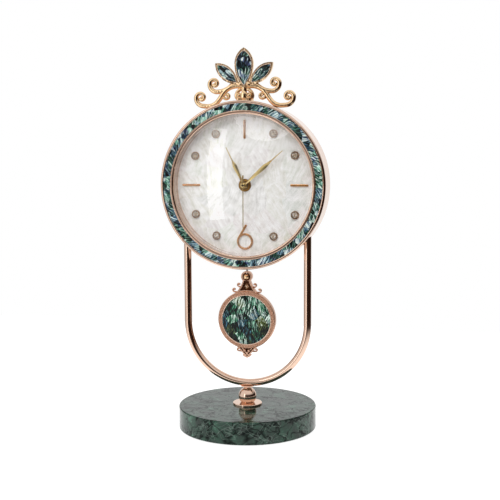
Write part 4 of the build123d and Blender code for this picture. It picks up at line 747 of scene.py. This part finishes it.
class CLOCK_OT_shell_inlays(bpy.types.Operator):
    """Finish the shell inlays of the bezel, the bob and the crest"""

    bl_idname = "clock.shell_inlays"
    bl_label = "Shell inlays"

    def execute(self, context):
        stripe = context.scene.clock_sizes.slice_stripe
        dress(new_material(
            "abalone_slices_in_lacquer", shell_surface, ring_place, RING_PALETTE, tones=(-0.48, 0.20),
            slice_size=6.0, stripe=0.95 * stripe, lean=(-1.5, -0.3), wander=2.2, draw=9.0), "bezel_inlay")
        dress(new_material(
            "abalone_sheet_in_lacquer", shell_surface, bob_place, BOB_PALETTE, tones=(-0.48, 0.02),
            slice_size=10.0, stripe=0.8 * stripe, lean=(-0.6, 0.6), wander=8.0, draw=8.0), "bob_inlay")
        dress(new_material(
            "abalone_leaf_in_lacquer", shell_surface, leaf_place, LEAF_PALETTE, tones=(-0.44, 0.04),
            slice_size=6.5, stripe=stripe, lean=(-0.3, 0.3), wander=2.2, draw=8.0), "leaf_inlays")
        return {"FINISHED"}


class CLOCK_OT_dial(bpy.types.Operator):
    """Finish the dial, its markers, the hands and the lens"""

    bl_idname = "clock.dial"
    bl_label = "Dial, hands and lens"

    def execute(self, context):
        colours = context.scene.clock_colours
        dress(new_material("mother_of_pearl_veneer", pearl, context.scene.clock_sizes), "dial")
        dress(satin_metal("polished_antique_gold", colours.hand_gold,
                          grain=2.0, haze=(0.10, 0.18), dimples=0.03),
              "hour_hand", "minute_hand", "second_hand")
        dress(satin_metal("burnished_brass", linear("#A9803F"),
                          grain=1.2, haze=(0.22, 0.36), dimples=0.08), "centre_washer", "centre_nut")
        dress(satin_metal("polished_bar_gold", colours.bar_gold,
                          grain=2.0, haze=(0.16, 0.26), dimples=0.03), "hour_bars", "numeral_six")
        dress(satin_metal("polished_pewter", linear("#A88E76"),
                          grain=1.0, haze=(0.3, 0.45), dimples=0.05), "stone_cups")
        # Painted reflections of the stones' and the jewel's facets, from dark to a painted glint
        dress(new_material("foil_backed_crystal", foiled_stone, [
            (0.0, "#5A4431"), (0.3, "#B5A690"), (0.55, "#F0E6D6"), (1.0, "#FFFFFF")]), "hour_stones")
        dress(new_material("foil_backed_amber_glass", foiled_stone, [
            (0.0, "#6A3512"), (0.4, "#B9742C"), (0.7, "#E9CBA2"), (1.0, "#FFF6E8")]), "hanger_jewel")
        dress(new_material("pressed_domed_glass", clear_glass, ior=1.5), "lens")
        smoothed(context, "lens", "domed_lens", "stand")
        dress(moulded_plastic("clear_seal", linear("#C9C3BA"), roughness=0.5, grain=0.8), "lens_gasket")
        return {"FINISHED"}


class CLOCK_OT_second_eyelet(bpy.types.Operator):
    """Roll an eyelet over the second hand's tube, with a disc inside it painted dark as the shade down its
    bore
    """

    bl_idname = "clock.second_eyelet"
    bl_label = "Second hand eyelet"

    def execute(self, context):
        sizes = context.scene.clock_sizes
        roll = sizes.eyelet_roll * MM
        reach = sizes.eyelet_diameter * MM / 2 - roll / 2
        centre = Vector((DIAL_CENTRE.x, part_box("second_hand")[0].y, DIAL_CENTRE.z))
        eyelet = bmesh.new()
        wire(eyelet, circle(centre, reach, SMALL_RING), roll / 2)
        piece(context, eyelet, "second_hand_eyelet", bpy.data.materials["polished_antique_gold"],
              "second_work")
        # A disc painted dark as the shade inside the tube's bore, not a dark part
        end = bmesh.new()
        bmesh.ops.create_cone(
            end, cap_ends=True, segments=32, radius1=reach, radius2=reach, depth=roll / 2,
            matrix=Matrix.Translation(centre) @ Matrix.Rotation(pi / 2, 4, "X"))
        piece(context, end, "second_bore_painted_shade", new_material("turned_steel_painted_bore_shade", bore_shade_steel),
              "second_work", smooth=False)
        return {"FINISHED"}


class CLOCK_OT_movement(bpy.types.Operator):
    """Finish the movement, its wheels, coils and cell"""

    bl_idname = "clock.movement"
    bl_label = "Movement"

    def execute(self, context):
        dress(moulded_plastic("moulded_black_abs", linear("#1C1C1E"), roughness=0.5, grain=0.35),
              "movement_body", "movement_cover", "leg_clamps", "swing_arm")
        dress(moulded_plastic("moulded_white_acetal", linear("#E4E1D8"), roughness=0.4, grain=0.5),
              "setting_knob", "cannon_pinion", "hour_wheel", "motion_wheel", "centre_wheel",
              "third_wheel", "second_wheel", "intermediate_wheel", "stepper_rotor")
        dress(satin_metal("enamelled_copper_wire", linear("#B5653A"),
                          grain=0.3, haze=(0.25, 0.4), dimples=0.2), "stepper_coil", "drive_coil")
        dress(moulded_plastic("solder_mask", linear("#1F5A36"), roughness=0.35, grain=0.4), "circuit_board")
        dress(new_material("printed_cell_sleeve", cell_jacket), "battery")
        dress(moulded_plastic("black_enamelled_steel", linear("#141414"), roughness=0.5, grain=0.5),
              "carrier_plate")
        return {"FINISHED"}


class CLOCK_OT_cover_marks(bpy.types.Operator):
    """Raise the setting arrow and the cell's plus and minus on the movement's cover"""

    bl_idname = "clock.cover_marks"
    bl_label = "Cover marks"

    def execute(self, context):
        sizes = context.scene.clock_sizes
        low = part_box("movement_cover")[1].y - MARK_SINK
        line = (sizes.mark_width * MM, low, low + MARK_SINK + sizes.mark_height * MM)
        shape = bmesh.new()
        self.arrow(shape, line)
        self.signs(shape, line)
        piece(context, shape, "cover_marks", bpy.data.materials["moulded_black_abs"],
              "stand", smooth=False)
        return {"FINISHED"}

    def arrow(self, shape, line):
        """An arc beside the setting knob with a barbed head at each end."""
        low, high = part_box("setting_knob")
        reach = (high.x - low.x) / 2 + ARROW_GAP
        turns = [radians(turn) for turn in ARROW_TURNS]
        arc = [middle("setting_knob") + Vector((cos(t), 0, sin(t))) * reach for t in turns]
        bar(shape, arc, *line)
        for tip, heading in ((arc[0], arc[0] - arc[1]), (arc[-1], arc[-1] - arc[-2])):
            ahead = heading.normalized()
            for lean in (-BARB_LEAN, BARB_LEAN):
                side = Vector((-ahead.z, 0, ahead.x)) * lean
                bar(shape, [tip + ahead * BARB_AHEAD, tip + (side - ahead) * BARB_BACK], *line)

    def signs(self, shape, line):
        """A plus and a minus above the ends of the cell."""
        low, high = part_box("battery")
        across, upward = Vector((SIGN_ARM, 0, 0)), Vector((0, 0, SIGN_ARM))
        for end, arms in ((high.x - SIGN_INSET, (across, upward)), (low.x + SIGN_INSET, (across,))):
            spot = Vector((end, 0, high.z + SIGN_RISE))
            for arm in arms:
                bar(shape, [spot - arm, spot + arm], *line)


class CLOCK_OT_screw_recesses(bpy.types.Operator):
    """Cut crossed driver recesses into the heads of the back cover's screws"""

    bl_idname = "clock.screw_recesses"
    bl_label = "Screw recesses"

    def execute(self, context):
        sizes = context.scene.clock_sizes
        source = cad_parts["cover_screws"]
        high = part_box("cover_screws")[1].y
        arm = sizes.recess_arm * MM
        shape = bmesh.new()
        for head in self.heads(source):
            for across in (Vector((arm, 0, arm)), Vector((arm, 0, -arm))):
                bar(shape, [head - across / 2, head + across / 2], sizes.recess_width * MM,
                    high - sizes.recess_depth * MM, high + MM)
        cutter = placed(context, "recess_cutter", mesh_of(shape, "recess_cutter"))
        blank = placed(context, "screw_blank", source.data.copy())
        blank.matrix_world = source.matrix_world
        cut = blank.modifiers.new("recess", "BOOLEAN")
        cut.object = cutter
        cut.use_self = True
        graph = context.evaluated_depsgraph_get()
        mesh = bpy.data.meshes.new_from_object(blank.evaluated_get(graph))
        mesh.transform(source.matrix_world)
        for spare in (cutter, blank):
            bpy.data.objects.remove(spare)
        screws = placed(context, "crosshead_cover_screws", mesh)
        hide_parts("cover_screws")
        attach(screws, "stand")
        return {"FINISHED"}

    def heads(self, source):
        """Middles of the screws, one per quarter of the dial, in metres."""
        spots = [source.matrix_world @ v.co for v in source.data.vertices]
        places = []
        for right in (-1, 1):
            for up in (-1, 1):
                near = [s for s in spots
                        if (s.x - DIAL_CENTRE.x) * right > 0 and (s.z - DIAL_CENTRE.z) * up > 0]
                x, z = [(min(s[axis] for s in near) + max(s[axis] for s in near)) / 2 for axis in (0, 2)]
                places.append(Vector((x, 0, z)))
        return places


class ClockStage(bpy.types.PropertyGroup):
    """The camera and the lamps."""

    camera_azimuth: FloatProperty(
        name="Camera azimuth", description="Camera's turn to the right of the dial's front",
        subtype="ANGLE", default=radians(13.09))
    camera_distance: FloatProperty(
        name="Camera distance", description="From the clock's upright axis", unit="LENGTH", default=1.0207)
    camera_height: FloatProperty(
        name="Camera height", description="Above the floor", unit="LENGTH", default=0.3022)
    camera_pitch: FloatProperty(
        name="Camera pitch", description="Down from level", subtype="ANGLE", default=radians(6.01))
    camera_yaw: FloatProperty(
        name="Camera yaw", description="Extra turn of the view", subtype="ANGLE", default=radians(-0.19))
    camera_roll: FloatProperty(
        name="Camera roll", description="Lean of the picture", subtype="ANGLE", default=radians(-0.23))
    camera_lens: FloatProperty(
        name="Camera lens", description="Focal length in mm on a 36 mm sensor", default=68.33)
    strip_azimuth: FloatProperty(
        name="Strip azimuth", description="Strip lamp's turn to the left of the dial's front",
        subtype="ANGLE", default=radians(28))
    strip_top: FloatProperty(
        name="Strip top", description="Strip lamp's top above the dial",
        subtype="ANGLE", default=radians(28))
    strip_foot: FloatProperty(
        name="Strip foot", description="Strip lamp's foot below the dial",
        subtype="ANGLE", default=radians(20))
    strip_distance: FloatProperty(
        name="Strip distance", description="From the dial", unit="LENGTH", default=1.4)
    strip_power: FloatProperty(
        name="Strip power", description="Strip lamp's power in watts", default=1.65)
    fill_power: FloatProperty(
        name="Fill power", description="Overhead lamp's power in watts", default=12.3)


def studio_world():
    """White all round to the eye. In light and reflections the right front is a dark part of the room."""
    world = bpy.data.worlds.new("studio")
    world.use_nodes = True
    tree = world.node_tree
    tree.nodes.clear()
    ray = add(tree, "SeparateXYZ", {0: add(tree, "TexCoord").outputs["Generated"]}).outputs
    forward = add(tree, "Math", {0: ray["Y"], 1: -1.0}, operation="MULTIPLY")
    turn = add(tree, "Math", {0: ray["X"], 1: forward}, operation="ARCTAN2")
    share = add(tree, "MapRange", {"Value": turn, "From Min": radians(-180), "From Max": radians(180)})
    room = add(tree, "ValToRGB", {"Fac": share}, stops=ROOM_SHADES)
    ceiling = add(tree, "MapRange", {"Value": ray["Z"], "From Min": 0.25, "From Max": 0.6})
    roofed = add(tree, "MixRGB", {"Fac": ceiling, "Color1": room, "Color2": linear("#F2F2F2")})
    lit = add(tree, "Background", {"Color": roofed})
    seen = add(tree, "Background", {"Color": linear("#FFFFFF")})
    eye = add(tree, "LightPath").outputs["Is Camera Ray"]
    mixed = add(tree, "MixShader", {0: eye, 1: lit, 2: seen})
    add(tree, "OutputWorld", {"Surface": mixed})
    return world


def white_paper(tree):
    """Matt white paper on the table: it stays white, takes a soft shadow and fades out in reflections."""
    place = object_mm(tree)
    fibres = add(tree, "TexNoise", {"Vector": place, "Scale": 1 / 3.0})
    shade = add(tree, "MapRange", {"Value": fibres, "To Min": 0.40, "To Max": 0.44})
    shader = add(tree, "BsdfPrincipled", {
        "Base Color": shade, "Roughness": 1.0, "Specular IOR Level": 0.0,
        "Emission Color": linear("#FFFFFF"), "Emission Strength": 0.85})
    away = add(tree, "VectorMath", {0: place}, operation="LENGTH").outputs["Value"]
    fade = add(tree, "MapRange", {
        "Value": away, "From Min": FADE_START, "From Max": FADE_END}, interpolation_type="SMOOTHSTEP")
    glossy = add(tree, "LightPath").outputs["Is Glossy Ray"]
    gone = add(tree, "Math", {0: fade, 1: glossy}, operation="MULTIPLY")
    return add(tree, "MixShader", {0: gone, 1: shader, 2: add(tree, "BsdfTransparent")})


class CLOCK_OT_stage(bpy.types.Operator):
    """Make the floor, the lamps and the camera"""

    bl_idname = "clock.stage"
    bl_label = "Stage"

    def execute(self, context):
        stage = context.scene.clock_stage
        context.scene.world = studio_world()
        self.floor(context)
        self.strip(context, stage)
        self.fill(context, stage)
        self.camera(context, stage)
        context.scene.view_settings.view_transform = "Standard"
        return {"FINISHED"}

    def floor(self, context):
        """A sheet of white paper."""
        mesh = bpy.data.meshes.new("floor")
        corners = [(x * FLOOR_REACH, y * FLOOR_REACH, 0) for x, y in ((-1, -1), (1, -1), (1, 1), (-1, 1))]
        mesh.from_pydata(corners, [], [(0, 1, 2, 3)])
        mesh.materials.append(new_material("white_paper_sweep", white_paper))
        placed(context, "floor", mesh)

    def strip(self, context, stage):
        """A tall lamp at the left that the metal reflects."""
        lamp = bpy.data.lights.new("strip_softbox", "AREA")
        lamp.shape = "RECTANGLE"
        lamp.size = 2 * stage.strip_distance * tan(STRIP_SIDE)
        lamp.size_y = stage.strip_distance * (tan(stage.strip_top) + tan(stage.strip_foot))
        lamp.energy = stage.strip_power
        strip = placed(context, "strip_softbox", lamp)
        rise = stage.strip_distance * (tan(stage.strip_top) - tan(stage.strip_foot)) / 2
        direction = Vector((-sin(stage.strip_azimuth), -cos(stage.strip_azimuth), 0))
        strip.location = DIAL_CENTRE + direction * stage.strip_distance + Vector((0, 0, rise))
        strip.rotation_euler = direction.to_track_quat("Z", "Y").to_euler()

    def fill(self, context, stage):
        """A wide lamp above that nothing reflects."""
        lamp = bpy.data.lights.new("overhead_softbox", "AREA")
        lamp.shape = "DISK"
        lamp.size = FILL_DIAMETER
        lamp.energy = stage.fill_power
        fill = placed(context, "overhead_softbox", lamp)
        fill.location = FILL_PLACE
        fill.rotation_euler = (fill.location - DIAL_CENTRE).to_track_quat("Z", "Y").to_euler()
        fill.visible_glossy = False

    def camera(self, context, stage):
        """The camera of the stage."""
        eye = bpy.data.cameras.new("camera")
        eye.lens = stage.camera_lens
        eye.sensor_width = SENSOR_WIDTH
        turn = stage.camera_azimuth + stage.camera_yaw
        level = cos(stage.camera_pitch)
        ahead = Vector((-sin(turn) * level, cos(turn) * level, -sin(stage.camera_pitch)))
        right = Vector((cos(turn), sin(turn), 0))
        up = right.cross(ahead)
        roll = stage.camera_roll
        across = right * cos(roll) + up * sin(roll)
        upright = up * cos(roll) - right * sin(roll)
        turned = Matrix((across, upright, -ahead)).transposed().to_4x4()
        place = Vector((sin(stage.camera_azimuth) * stage.camera_distance,
                        -cos(stage.camera_azimuth) * stage.camera_distance, stage.camera_height))
        camera = placed(context, "camera", eye)
        camera.matrix_world = Matrix.Translation(place) @ turned
        context.scene.camera = camera


class CLOCK_PT_sidebar(bpy.types.Panel):
    """Lists the clock's pieces and its stage"""

    bl_label = "Desk pendulum clock"
    bl_idname = "CLOCK_PT_sidebar"
    bl_space_type = "VIEW_3D"
    bl_region_type = "UI"
    bl_category = "Clock"

    def draw(self, context):
        for operator in OPERATORS:
            self.layout.operator(operator.bl_idname)
        for group in (context.scene.clock_colours, context.scene.clock_sizes, context.scene.clock_stage):
            for name in group.bl_rna.properties.keys():
                if name not in ("rna_type", "name"):
                    self.layout.prop(group, name)


OPERATORS = (
    CLOCK_OT_stone_base, CLOCK_OT_metalwork, CLOCK_OT_milgrain, CLOCK_OT_leaf_lips,
    CLOCK_OT_crest_root, CLOCK_OT_shell_inlays, CLOCK_OT_dial, CLOCK_OT_second_eyelet,
    CLOCK_OT_movement, CLOCK_OT_cover_marks, CLOCK_OT_screw_recesses, CLOCK_OT_stage,
)
GROUPS = {"clock_colours": ClockColours, "clock_sizes": ClockSizes, "clock_stage": ClockStage}


def register():
    """Register the groups, operators and panel, and hang the groups on the scene."""
    for made in (*GROUPS.values(), *OPERATORS, CLOCK_PT_sidebar):
        bpy.utils.register_class(made)
    for name, group in GROUPS.items():
        setattr(bpy.types.Scene, name, PointerProperty(type=group))


def unregister():
    """Take everything that register made away again."""
    for name in GROUPS:
        delattr(bpy.types.Scene, name)
    for made in (CLOCK_PT_sidebar, *reversed(OPERATORS), *GROUPS.values()):
        bpy.utils.unregister_class(made)


def main():
    """Register the add-on and build everything in order."""
    register()
    bpy.ops.clock.stone_base()
    bpy.ops.clock.metalwork()
    bpy.ops.clock.milgrain()
    bpy.ops.clock.leaf_lips()
    bpy.ops.clock.crest_root()
    bpy.ops.clock.shell_inlays()
    bpy.ops.clock.dial()
    bpy.ops.clock.second_eyelet()
    bpy.ops.clock.movement()
    bpy.ops.clock.cover_marks()
    bpy.ops.clock.screw_recesses()
    bpy.ops.clock.stage()


if __name__ == "__main__":
    main()
